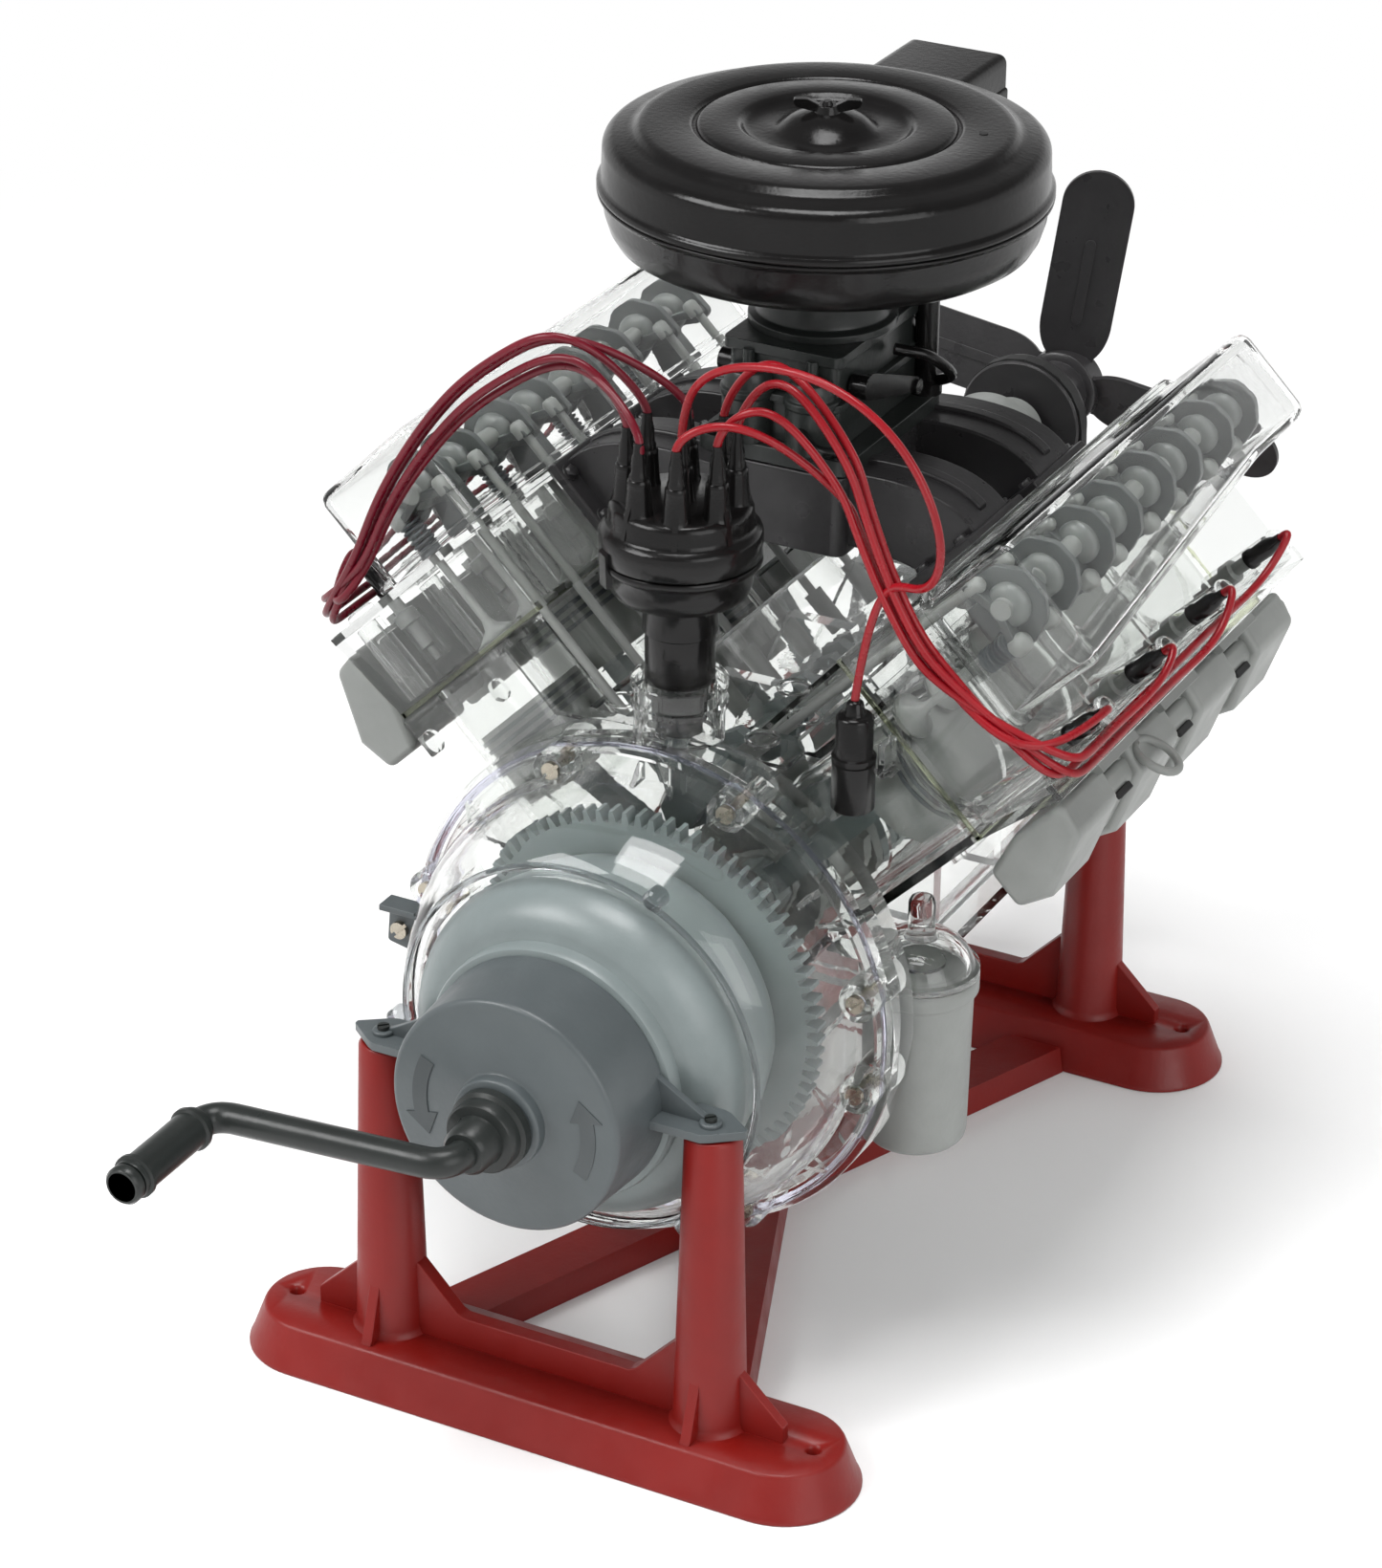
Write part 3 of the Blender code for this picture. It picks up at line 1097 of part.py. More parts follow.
def camshaft(parent):
    """The shaft with sixteen lobes, the distributor's gear and the chain's large wheel."""
    start = CAM_START
    parts = [rod(on_cam(start), on_cam(CHAIN_Y + CHAIN_WIDTH / 2), CAM_RADIUS, sides=COARSE),
             rod(on_cam(start), on_cam(start + CAM_GEAR_WIDTH), CAM_GEAR_RADIUS, sides=COARSE),
             rod(on_cam(CHAIN_Y - CHAIN_WIDTH / 2), on_cam(CHAIN_Y + CHAIN_WIDTH / 2), SPROCKET_RADIUS * 2,
                 sides=FINE)]
    for _, side in SIDES:
        for number in range(CYLINDERS):
            for turn in (-1, 1):
                y = cylinder_y(side, number) + turn * ROCKER_SPREAD
                lift = math.radians(THROW_ANGLES[number] / 2 + turn * LOBE_ANGLE) + side * BANK_ANGLE
                shift = Vector((math.cos(lift), 0, math.sin(lift))) * LOBE_OFFSET
                parts.append(rod(on_cam(y - LOBE_WIDTH / 2) + shift, on_cam(y + LOBE_WIDTH / 2) + shift,
                                 LOBE_RADIUS, sides=SMALL))
    return finish(union(parts), "camshaft", MID_GREY, on_cam(start), parent)


def loop_outline(low_radius, high_height, high_radius, grow, steps=10):
    """The outline of a belt round two wheels, one above the other, grown by a thickness."""
    wrap = math.degrees(math.asin((high_radius - low_radius) / high_height))
    low = arc((0, CRANK_HEIGHT), low_radius + grow, 180 + wrap, 360 - wrap, steps)
    high = arc((0, CRANK_HEIGHT + high_height), high_radius + grow, -wrap, 180 + wrap, steps)
    return low + high


def loop(low_radius, high_height, high_radius, y, width, thickness):
    inner = loop_outline(low_radius, high_height, high_radius, RUNNING)
    outer = loop_outline(low_radius, high_height, high_radius, RUNNING + thickness)
    core = prism(inner, y - width, y + width)
    return cut(prism(outer, y - width / 2, y + width / 2), [core])


def timing_chain():
    chain = loop(SPROCKET_RADIUS, CAM_HEIGHT, SPROCKET_RADIUS * 2, CHAIN_Y, CHAIN_WIDTH, CHAIN_THICKNESS)
    return finish(chain, "timing_chain", MID_GREY)


def fan_belt():
    belt = loop(PULLEY_RADIUS - PULLEY_GROOVE, PUMP_HEIGHT, PUMP_PULLEY_RADIUS - PULLEY_GROOVE,
                PULLEY_MIDDLE, BELT_WIDTH, BELT_THICKNESS)
    return finish(belt, "fan_belt", RUBBER)


def timing_cover():
    """The cover over the chain, with the pad for the water pump and the arms that rest on the posts."""
    near = BLOCK_END + FIT
    floor = CRANK_HEIGHT - CASE_FLOOR
    outline = spread(COVER_SHARES, (0, floor), (COVER_FOOT_HALF, CRANK_HEIGHT + COVER_TOP))
    shell = prism(outline, near, COVER_FACE)
    gap = OVERRUN + CHAIN_THICKNESS + RUNNING
    room = prism(loop_outline(SPROCKET_RADIUS, CAM_HEIGHT, SPROCKET_RADIUS * 2, gap), near - OVERRUN,
                 COVER_FACE - WALL)
    nose = rod(on_crank(near), on_crank(COVER_FACE + OVERRUN), MAIN_RADIUS + RUNNING)
    seat = POST_TOP + FIT
    root = COVER_FOOT_HALF * ARM_ROOT_SHARE
    arms = [box((left, near + WALL / 2, seat), (right, COVER_FACE - WALL / 2, seat + ARM_THICKNESS))
            for left, right in ((root, ARM_TIP), (-ARM_TIP, -root))]
    return finish(cut(union([shell] + arms), [room, nose]), "timing_cover", CLEAR)


def on_pump(y):
    return Vector((0, y, CRANK_HEIGHT + PUMP_HEIGHT))


def water_pump():
    """The pump body with its nose, bored for the fan's shaft."""
    bore = PUMP_SHAFT + RUNNING
    profile = [(bore, PUMP_LENGTH), (PUMP_NOSE, PUMP_LENGTH), (PUMP_NOSE, PUMP_LENGTH / 2),
               (PUMP_RADIUS, PUMP_LENGTH / 3), (PUMP_RADIUS, 0), (bore, 0)]
    body = turned(profile, on_pump(COVER_FACE + FIT), "Y")
    return finish(body, "water_pump", LIGHT_GREY)


def grooved_profile(radius, hub, back, bore=0):
    """A pulley with a belt groove and a hub that reaches back, from its front face down."""
    half = PULLEY_WIDTH / 2
    floor = radius - PULLEY_GROOVE
    outer = [(bore, half), (radius, half), (radius, BELT_WIDTH / 2 + FIT), (floor, BELT_WIDTH / 2 + FIT),
             (floor, -BELT_WIDTH / 2 - FIT), (radius, -BELT_WIDTH / 2 - FIT), (radius, -half)]
    return outer + [(hub, -half), (hub, -back), (bore, -back)]


def crank_pulley(parent):
    profile = grooved_profile(PULLEY_RADIUS, PULLEY_HUB, PULLEY_MIDDLE - PULLEY_BACK)
    wheel = turned(profile, on_crank(PULLEY_MIDDLE), "Y", FINE)
    return finish(wheel, "crank_pulley", BLACK, on_crank(PULLEY_MIDDLE), parent)


def fan_blade():
    """A blade with a round tip that stands up from the hub, twisted to its pitch."""
    half = FAN_BLADE_HALF_WIDTH
    tip = FAN_RADIUS - half
    root, wide = half * BLADE_ROOT_SHARE, FAN_HUB_RADIUS * BLADE_WIDE_SHARE
    outline = [(-root, 0), (root, 0), (half, wide)] + arc((0, tip), half, 0, 180, COARSE) + [(-half, wide)]
    plate = prism(outline, -FAN_BLADE_PLATE / 2, FAN_BLADE_PLATE / 2)
    return moved(plate, Matrix.Rotation(FAN_PITCH, 4, "Z"))


def fan(parent):
    """The fan with its spacer, the pump's pulley and the shaft into the pump."""
    profile = grooved_profile(PUMP_PULLEY_RADIUS, PUMP_SHAFT, PULLEY_MIDDLE - COVER_FACE - FIT * 2)
    parts = [turned(profile, on_pump(PULLEY_MIDDLE), "Y", FINE),
             rod(on_pump(PULLEY_MIDDLE), on_pump(FAN_Y), PUMP_NOSE),
             rod(on_pump(FAN_Y - FAN_HUB_LENGTH / 2), on_pump(FAN_Y + FAN_HUB_LENGTH / 2), FAN_HUB_RADIUS)]
    for number in range(FAN_BLADES):
        turn = Matrix.Rotation(FAN_TURN + number * 2 * math.pi / FAN_BLADES, 4, "Y")
        parts.append(moved(fan_blade(), Matrix.Translation(on_pump(FAN_Y)) @ turn))
    return finish(union(parts), "cooling_fan", BLACK, on_pump(PULLEY_MIDDLE), parent)


# Intake, carburettor and air cleaner

def runner(side, y, reach):
    """A duct that arches from the plenum down to a pad on the inner face of a head."""
    inner = -HEAD_INNER - FIT
    sunk = RUNNER_PAD / 2
    top = bank_point(side, inner - sunk, 0, HEAD_TOP - sunk)
    low = bank_point(side, inner - sunk, 0, RUNNER_FLOOR + sunk)
    centre = side * PLENUM_HALF_WIDTH / 2
    crown = CRANK_HEIGHT + PLENUM_TOP
    arch = curve((top.x, top.z), (top.x * RUNNER_CORNER_SHARE, crown + RUNNER_CROWN),
                 (centre, crown - OVERRUN), COARSE)
    belly = curve((centre, CRANK_HEIGHT + PLENUM_BOTTOM + sunk),
                  (side * PLENUM_HALF_WIDTH * 2 - centre, low.z + RUNNER_CROWN), (low.x, low.z), SMALL)
    duct = prism(arch + belly, CARB_Y + y - RUNNER_HALF_WIDTH, CARB_Y + y + RUNNER_HALF_WIDTH)
    pad = prism([(inner - RUNNER_PAD, RUNNER_FLOOR), (inner, RUNNER_FLOOR), (inner, HEAD_TOP),
                 (inner - RUNNER_PAD, HEAD_TOP)], CARB_Y + y - reach, CARB_Y + y + reach)
    return union([duct, to_bank(side, pad)])


def intake_manifold():
    """The plenum under the carburettor with four ducts to the heads."""
    parts = [box((-PLENUM_HALF_WIDTH, CARB_Y - PLENUM_HALF_LENGTH, CRANK_HEIGHT + PLENUM_BOTTOM),
                 (PLENUM_HALF_WIDTH, CARB_Y + PLENUM_HALF_LENGTH, CRANK_HEIGHT + PLENUM_TOP))]
    for _, side in SIDES:
        shift = side * BANK_STAGGER / 2
        for turn in (-1, 1):
            parts.append(runner(side, turn * (BORE_PITCH / 2) + shift, RUNNER_PAD_HALF))
    return finish(union(parts), "intake_manifold", BLACK)


def carburettor():
    """The carburettor: a foot, a body with two bowls at each end, and the horn for the air cleaner."""
    top = PAN_BOTTOM - FIT
    foot_top = PLENUM_SEAT + CARB_FOOT_HEIGHT
    body_top = PLENUM_SEAT + CARB_BODY_HEIGHT
    parts = [box((-CARB_FOOT_HALF_WIDTH, CARB_Y - PLENUM_HALF_LENGTH, PLENUM_SEAT),
                 (CARB_FOOT_HALF_WIDTH, CARB_Y + PLENUM_HALF_LENGTH, foot_top)),
             box((-CARB_HALF_WIDTH, CARB_Y - CARB_HALF_LENGTH, foot_top - FIT),
                 (CARB_HALF_WIDTH, CARB_Y + CARB_HALF_LENGTH, body_top)),
             rod((0, CARB_Y, foot_top), (0, CARB_Y, top), CARB_HORN_RADIUS)]
    bowl_top = PLENUM_SEAT + CARB_BODY_HEIGHT * CARB_BOWL_SHARE
    for x in (-CARB_BOWL_OFFSET, CARB_BOWL_OFFSET):
        for y in (CARB_Y - CARB_HALF_LENGTH, CARB_Y + CARB_HALF_LENGTH):
            parts.append(rod((x, y, foot_top - FIT), (x, y, bowl_top), CARB_BOWL_RADIUS, sides=COARSE))
    throat = rod((0, CARB_Y, PLENUM_SEAT + CARB_BODY_HEIGHT / 2), (0, CARB_Y, top + OVERRUN), CARB_THROAT)
    return finish(cut(union(parts), [throat]), "carburettor", DARK_GREY)


def air_cleaner_base():
    """The lower pan with its snorkel, open to the horn below it."""
    sheet = CLEANER_SHEET
    seam = CLEANER_SEAM
    floor = PAN_BOTTOM + sheet
    profile = [(CLEANER_RADIUS - sheet, seam), (CLEANER_RADIUS + CLEANER_BEAD, seam),
               (CLEANER_RADIUS + CLEANER_BEAD, seam - sheet), (CLEANER_RADIUS, seam - sheet),
               (CLEANER_FLOOR_RADIUS, floor), (CLEANER_FLOOR_RADIUS - sheet, PAN_BOTTOM),
               (CARB_THROAT, PAN_BOTTOM), (CARB_THROAT, floor), (CLEANER_FLOOR_RADIUS - sheet, floor)]
    return finish(turned(profile, (0, CARB_Y, 0), sides=FINE), "air_cleaner_base", BLACK)


def air_cleaner_lid():
    """The lid with its step, groove, dish and wing nut, and the snorkel that leaves its side."""
    sheet = CLEANER_SHEET
    shoulder, crown = CLEANER_SHOULDER, CLEANER_SHOULDER + CLEANER_RISE
    dish = crown - CLEANER_DISH_DEPTH
    half = CLEANER_GROOVE_DEPTH
    seam = CLEANER_SEAM + FIT
    profile = [(0, dish + CLEANER_DISH_DEPTH), (CLEANER_DOME / 2, dish + CLEANER_DISH_DEPTH),
               (CLEANER_DOME, dish), (CLEANER_DISH - CLEANER_DISH_DEPTH, dish), (CLEANER_DISH, crown),
               (CLEANER_GROOVE - half, crown), (CLEANER_GROOVE, crown - half),
               (CLEANER_GROOVE + half, crown), (CLEANER_STEP, crown), (CLEANER_STEP + half, shoulder),
               (CLEANER_RADIUS - CLEANER_RISE, shoulder),
               (CLEANER_RADIUS, shoulder - CLEANER_RISE), (CLEANER_RADIUS, seam + sheet),
               (CLEANER_RADIUS + CLEANER_BEAD, seam + sheet), (CLEANER_RADIUS + CLEANER_BEAD, seam),
               (CLEANER_RADIUS - sheet, seam), (CLEANER_RADIUS - sheet, shoulder - sheet - half),
               (CLEANER_STEP - sheet, shoulder - sheet - half), (0, shoulder - sheet - half)]
    parts = [turned(profile, (0, CARB_Y, 0), sides=FINE)]
    low = SNORKEL_TOP - SNORKEL_HEIGHT
    half_width = SNORKEL_WIDTH / 2
    start = CARB_Y + CLEANER_RADIUS - SNORKEL_WIDTH / 4
    parts.append(box((-half_width, start, low), (half_width, SNORKEL_END, SNORKEL_TOP)))
    top = crown + WING_NUT_HEIGHT
    parts.append(rod((0, CARB_Y, dish), (0, CARB_Y, top), WING_NUT_RADIUS,
                     WING_NUT_RADIUS * WING_NUT_TAPER_SHARE, sides=COARSE))
    for turn in (1, -1):
        wing = prism(spread(WING_SHARES, (0, crown + half), (turn * WING_SPAN, top)), -half, half)
        parts.append(moved(wing, Matrix.Translation((0, CARB_Y, 0)) @ Matrix.Rotation(WING_ANGLE, 4, "Z")))
    mouth = box((sheet - half_width, CARB_Y + CLEANER_RADIUS - sheet * 2, low + sheet),
                (half_width - sheet, SNORKEL_END + OVERRUN, SNORKEL_TOP - sheet))
    return finish(cut(union(parts), [mouth]), "air_cleaner_lid", BLACK)


# Distributor and coil

def distributor_body():
    """The bowl and its neck, bored for the rotor's shaft."""
    top = DISTRIBUTOR_SEAM - FIT
    floor = top - DISTRIBUTOR_BODY_LENGTH
    bore = ROTOR_SHAFT + RUNNING
    neck_end = BOSS_TOP - DISTRIBUTOR_NECK_DEPTH
    inner = DISTRIBUTOR_BODY_RADIUS - CAP_WALL
    profile = [(bore, floor + CAP_WALL), (inner, floor + CAP_WALL), (inner, top), (DISTRIBUTOR_RADIUS, top),
               (DISTRIBUTOR_RADIUS, top - CAP_WALL), (DISTRIBUTOR_BODY_RADIUS, top - CAP_WALL - DRUM_EDGE),
               (DISTRIBUTOR_BODY_RADIUS, floor), (DISTRIBUTOR_NECK_RADIUS, floor),
               (DISTRIBUTOR_NECK_RADIUS, neck_end), (bore, neck_end)]
    return finish(turned(profile, on_distributor(0)), "distributor_body", BLACK)


def distributor_cap():
    """The cap with its ring of towers and the coil's tower in the middle."""
    seam = DISTRIBUTOR_SEAM
    top = seam + CAP_HEIGHT
    inner = DISTRIBUTOR_RADIUS - CAP_WALL
    profile = [(0, top), (CAP_SHOULDER - CAP_WALL / 2, top), (CAP_SHOULDER, top - CAP_WALL / 2),
               (DISTRIBUTOR_RADIUS, seam + CAP_WALL), (DISTRIBUTOR_RADIUS, seam), (inner, seam),
               (inner - CAP_WALL, top - CAP_WALL), (0, top - CAP_WALL)]
    parts = [turned(profile, on_distributor(0))]
    for x, y in tower_places() + [(0, DISTRIBUTOR_Y)]:
        parts.append(rod((x, y, top - CAP_WALL / 2), (x, y, top + TOWER_HEIGHT), TOWER_RADIUS,
                         TOWER_RADIUS * TOWER_TAPER_SHARE, sides=SMALL))
    return finish(union(parts), "distributor_cap", BLACK)


def tower_places():
    step = 360 / TOWER_COUNT
    return arc((0, DISTRIBUTOR_Y), TOWER_CIRCLE, step / 2, 360 - step / 2, TOWER_COUNT - 1)


def distributor_rotor(parent):
    """The shaft from the camshaft's gear up to the rotor arm under the cap."""
    floor = DISTRIBUTOR_SEAM + FIT
    low = CRANK_HEIGHT + CAM_HEIGHT + CAM_GEAR_RADIUS + RUNNING
    parts = [rod(on_distributor(low), on_distributor(floor + ROTOR_HEIGHT / 2), ROTOR_SHAFT, sides=COARSE),
             rod(on_distributor(floor), on_distributor(floor + ROTOR_HEIGHT), ROTOR_HUB),
             box((-ROTOR_SHAFT, DISTRIBUTOR_Y, floor + ROTOR_HEIGHT / 2),
                 (ROTOR_SHAFT, DISTRIBUTOR_Y + ROTOR_ARM, floor + ROTOR_HEIGHT))]
    return finish(union(parts), "distributor_rotor", MID_GREY, on_distributor(floor), parent)


def ignition_coil():
    """The coil with its cap, on a small bracket from the end of the right head."""
    top = COIL_BOTTOM + COIL_LENGTH
    face = BLOCK_START + BANK_STAGGER - FIT
    parts = [rod((COIL_X, COIL_Y, COIL_BOTTOM), (COIL_X, COIL_Y, top), COIL_RADIUS),
             rod((COIL_X, COIL_Y, top - FIT), (COIL_X, COIL_Y, top + COIL_CAP_LENGTH), COIL_CAP_RADIUS),
             box((COIL_X, COIL_Y, top - COIL_CAP_RADIUS),
                 (COIL_X + COIL_RADIUS * 2, face, top + COIL_CAP_RADIUS))]
    return finish(union(parts), "ignition_coil", BLACK)


# Oil filter and pan

def oil_filter_canister():
    top = FILTER_BOTTOM + FILTER_LENGTH
    round_by = FILTER_RADIUS * FILTER_ROUND_SHARE
    cut_by = round_by * FILTER_CHAMFER_SHARE
    foot_radius = FILTER_RADIUS * FILTER_TAPER_SHARE
    profile = [(0, top), (FILTER_RADIUS + FILTER_RIM, top),
               (FILTER_RADIUS + FILTER_RIM, top - FILTER_RIM_HEIGHT),
               (FILTER_RADIUS, top - FILTER_RIM_HEIGHT - FILTER_RIM), (foot_radius, FILTER_BOTTOM + round_by),
               (foot_radius - cut_by, FILTER_BOTTOM + cut_by), (foot_radius - round_by, FILTER_BOTTOM),
               (0, FILTER_BOTTOM)]
    return finish(turned(profile, (FILTER_X, FILTER_Y, 0), sides=FINE), "oil_filter_canister", LIGHT_GREY)


def oil_filter_dome():
    """The clear head of the filter, with its knob and the lug that joins it to the case."""
    base = FILTER_BOTTOM + FILTER_LENGTH + FIT
    top = base + FILTER_DOME
    rim = FILTER_RADIUS + FILTER_RIM
    room_radius, room_height = FILTER_ROOM_SHARES
    profile = [(0, top)] + [(FILTER_RADIUS * out, base + FILTER_DOME * up) for out, up in FILTER_DOME_SHARES]
    edge = base + FILTER_RIM_HEIGHT / 2
    profile += [(FILTER_RADIUS, edge), (rim, edge), (rim, base), (FILTER_RADIUS - WALL, base),
                (FILTER_RADIUS * room_radius, base + FILTER_DOME * room_height), (0, top - WALL)]
    dome = turned(profile, (FILTER_X, FILTER_Y, 0), sides=FINE)
    knob = rod((FILTER_X, FILTER_Y, top - WALL / 2), (FILTER_X, FILTER_Y, top + FILTER_KNOB_HEIGHT),
               FILTER_KNOB, sides=COARSE)
    lean = math.sin(BANK_ANGLE)
    slope = (BANK_OUTER + FIT) / lean - CRANK_HEIGHT
    low, high = base + WALL / 2, top
    case = CASE_HALF_WIDTH + FIT
    inside = FILTER_X - FILTER_RADIUS * FILTER_LUG_SHARE
    near_low, near_high = max(case, low + slope), max(case, high + slope)
    lug = prism([(inside, low), (inside, high), (near_high, high), (near_low, low)],
                FILTER_Y - FILTER_BRACKET / 2, FILTER_Y + FILTER_BRACKET / 2)
    return finish(union([dome, knob, lug]), "oil_filter_dome", CLEAR)


def oil_pan():
    """The pan under the case: a rail, a shallow tray and the deeper sump at the hand crank's end."""
    top = CRANK_HEIGHT - CASE_FLOOR - FIT
    near, far = BLOCK_START + WALL + FIT, BLOCK_END - WALL
    half, wall = PAN_HALF_WIDTH - WALL, WALL
    sump = near + PAN_SUMP_LENGTH
    parts = [box((-PAN_HALF_WIDTH, near, top - PAN_RAIL), (PAN_HALF_WIDTH, far, top)),
             box((-half, near + wall, top - PAN_SHALLOW), (half, far - wall, top - PAN_RAIL / 2)),
             bevelled(box((-half, near + wall, top - PAN_DEEP), (half, sump, top - PAN_RAIL / 2)), OVERRUN)]
    start = near + wall * 2
    cutters = [box((wall - half, start, top - PAN_SHALLOW + wall),
                   (half - wall, far - wall * 2, top + OVERRUN)),
               box((wall - half, start, top - PAN_DEEP + wall), (half - wall, sump - wall, top - PAN_RAIL))]
    return finish(cut(union(parts), cutters), "oil_pan", CLEAR)


# Ignition leads

def smooth(points):
    """Places on a smooth curve through a route's own points, closer together where it bends."""
    route = [Vector(point) for point in points]
    route = [route[0] * 2 - route[1]] + route + [route[-1] * 2 - route[-2]]
    fine = []
    for before, start, stop, after in zip(route, route[1:], route[2:], route[3:]):
        for i in range(LEAD_STEPS):
            t = i / LEAD_STEPS
            slope = stop - before
            bow = before * 2 - start * 5 + stop * 4 - after
            turn = start * 3 - before - stop * 3 + after
            fine.append((start * 2 + slope * t + bow * t ** 2 + turn * t ** 3) / 2)
    fine.append(route[-2])
    kept = [fine[0]]
    heading = fine[1] - fine[0]
    for point, after in zip(fine[1:-1], fine[2:]):
        gap = (point - kept[-1]).length
        bend = heading.angle(after - point)
        if gap >= LEAD_SPACING * 3 or (gap >= LEAD_SPACING / 2 and bend >= LEAD_BEND):
            kept.append(point)
            heading = after - point
    return kept + [fine[-1]]


def tower_top(side, number):
    """The place just above a lead's tower; the left bank's towers mirror the right bank's."""
    tower = number - TOWER_COUNT // 4
    if side < 0:
        tower = TOWER_COUNT // 2 - 1 - tower
    x, y = tower_places()[tower]
    return Vector((x, y, DISTRIBUTOR_SEAM + CAP_HEIGHT + TOWER_HEIGHT + FIT))


def lead_route(label, side, number):
    """A lead's places from its tower, through its side's bundle and along the ledge, into its boot."""
    start = tower_top(side, number)
    shift_y, shift_along = (LEAD_APART * share for share in BUNDLE_SHARES[number])
    route = [start, start + Vector((0, 0, BOOT_LENGTH))]
    for across, y, along in BUNDLES[label]:
        route.append(lead_place(side, across, y + shift_y, along + shift_along))
    last = cylinder_y(side, number)
    corner = bank_start(side) - BOOT_RADIUS
    if LEDGE_LANES[number] is None:
        route.append(bank_point(side, CORNER_LANE[0], corner - BOOT_LENGTH / 2, HEAD_TOP + CORNER_LANE[1]))
    else:
        across, rise = LEDGE_LANES[number]
        along = HEAD_TOP + rise
        route.append(bank_point(side, across - BOOT_RADIUS, corner - shift_y, along))
        route += [bank_point(side, across, cylinder_y(side, i) - turn * BORE_PITCH / 4, along)
                  for i in range(number) for turn in (1, -1)]
        route.append(bank_point(side, across, last - BORE_PITCH / 4, along + BOOT_RADIUS))
    plug = bank_point(side, PLUG_AT, last, HEAD_TOP + FIT)
    out = bank_point(side, 0, 0, BOOT_LENGTH) - bank_point(side, 0, 0, 0)
    return route + [plug + out * BOOT_LEAD_SHARE, plug + out]


def lead_place(side, across, y, rise):
    """A place on a route, from the distributor along the crankshaft and above the head."""
    return bank_point(side, across, DISTRIBUTOR_Y + y, HEAD_TOP + rise)


def boot(side, number):
    """The boot over a spark plug."""
    y = cylinder_y(side, number)
    seat = HEAD_TOP + FIT
    return rod(bank_point(side, PLUG_AT, y, seat), bank_point(side, PLUG_AT, y, seat + BOOT_LENGTH),
               BOOT_RADIUS, BOOT_RADIUS * BOOT_TAPER_SHARE, sides=COARSE)


def collar_ends(label, side):
    """The two ends of the collar, which is on the middle place of its bundle's route."""
    route = [lead_place(side, *place) for place in BUNDLES[label]]
    middle = len(route) // 2
    along = (route[middle + 1] - route[middle - 1]).normalized() * COLLAR_LENGTH / 2
    return route[middle] - along, route[middle] + along


def coil_lead():
    """The lead from the middle tower, over the right bundle and through its collar, down to the coil."""
    start = on_distributor(DISTRIBUTOR_SEAM + CAP_HEIGHT + TOWER_HEIGHT + FIT)
    end = Vector((COIL_X, COIL_Y, COIL_BOTTOM + COIL_LENGTH + COIL_CAP_LENGTH + FIT))
    rise = Vector((0, 0, BOOT_LENGTH / 2))
    held = sum(collar_ends("right", 1), Vector()) / 2
    over = [lead_place(1, *place) for place in COIL_ROUTE]
    return tube(smooth([start, start + rise] + over + [held, end + rise, end]), LEAD_RADIUS)


def plug_leads(label, side):
    """The four leads of a bank with their boots, held in one bundle by a collar."""
    parts = [rod(*collar_ends(label, side), COLLAR_RADIUS, sides=COARSE)]
    for number in range(CYLINDERS):
        parts.append(tube(smooth(lead_route(label, side, number)), LEAD_RADIUS))
        parts.append(boot(side, number))
    if side > 0:
        parts.append(coil_lead())
    return finish(union(parts), f"plug_leads_{label}", LEAD_RED)


def build():
    crank = pivot("crank_axis", on_crank(CRANK_ARM_Y))
    cam = pivot("camshaft_axis", on_cam(BLOCK_START))
    spindle = pivot("distributor_axis", on_distributor(DISTRIBUTOR_SEAM))
    pump = pivot("fan_axis", on_pump(PULLEY_MIDDLE))
    grip = pivot("grip_axis", handle_root())
    foot("foot_crank_end", 0, -1)
    foot("foot_fan_end", FOOT_SPACING, 1)
    beam("cross_beam_a", 1, True)
    beam("cross_beam_b", -1, False)
    drum_housing()
    gear_bell()
    clear_bell()
    engine_block()
    oil_pan()
    for label, side in SIDES:
        cylinder_head(label, side)
        valve_cover(label, side)
        rocker_gear(label, side)
        exhaust_manifold(label, side)
    intake_manifold()
    carburettor()
    air_cleaner_base()
    air_cleaner_lid()
    distributor_body()
    distributor_cap()
    ignition_coil()
    for label, side in SIDES:
        plug_leads(label, side)
    oil_filter_canister()
    oil_filter_dome()
    timing_chain()
    timing_cover()
    water_pump()
    fan_belt()
    hand_crank(crank)
    crank_grip(grip)
    flywheel(crank)
    crankshaft_sections(crank)
    crank_pulley(crank)
    camshaft(cam)
    distributor_rotor(spindle)
    fan(pump)
    pistons_and_rods()


build()
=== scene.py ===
# Looks of the four stroke engine model: materials, small pieces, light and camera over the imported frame.
# Metres, +Z up, +Y along the crankshaft from the hand crank to the fan.
import json
from math import cos, pi, radians, sin, sqrt

import bmesh
import bpy
from mathutils import Matrix, Vector


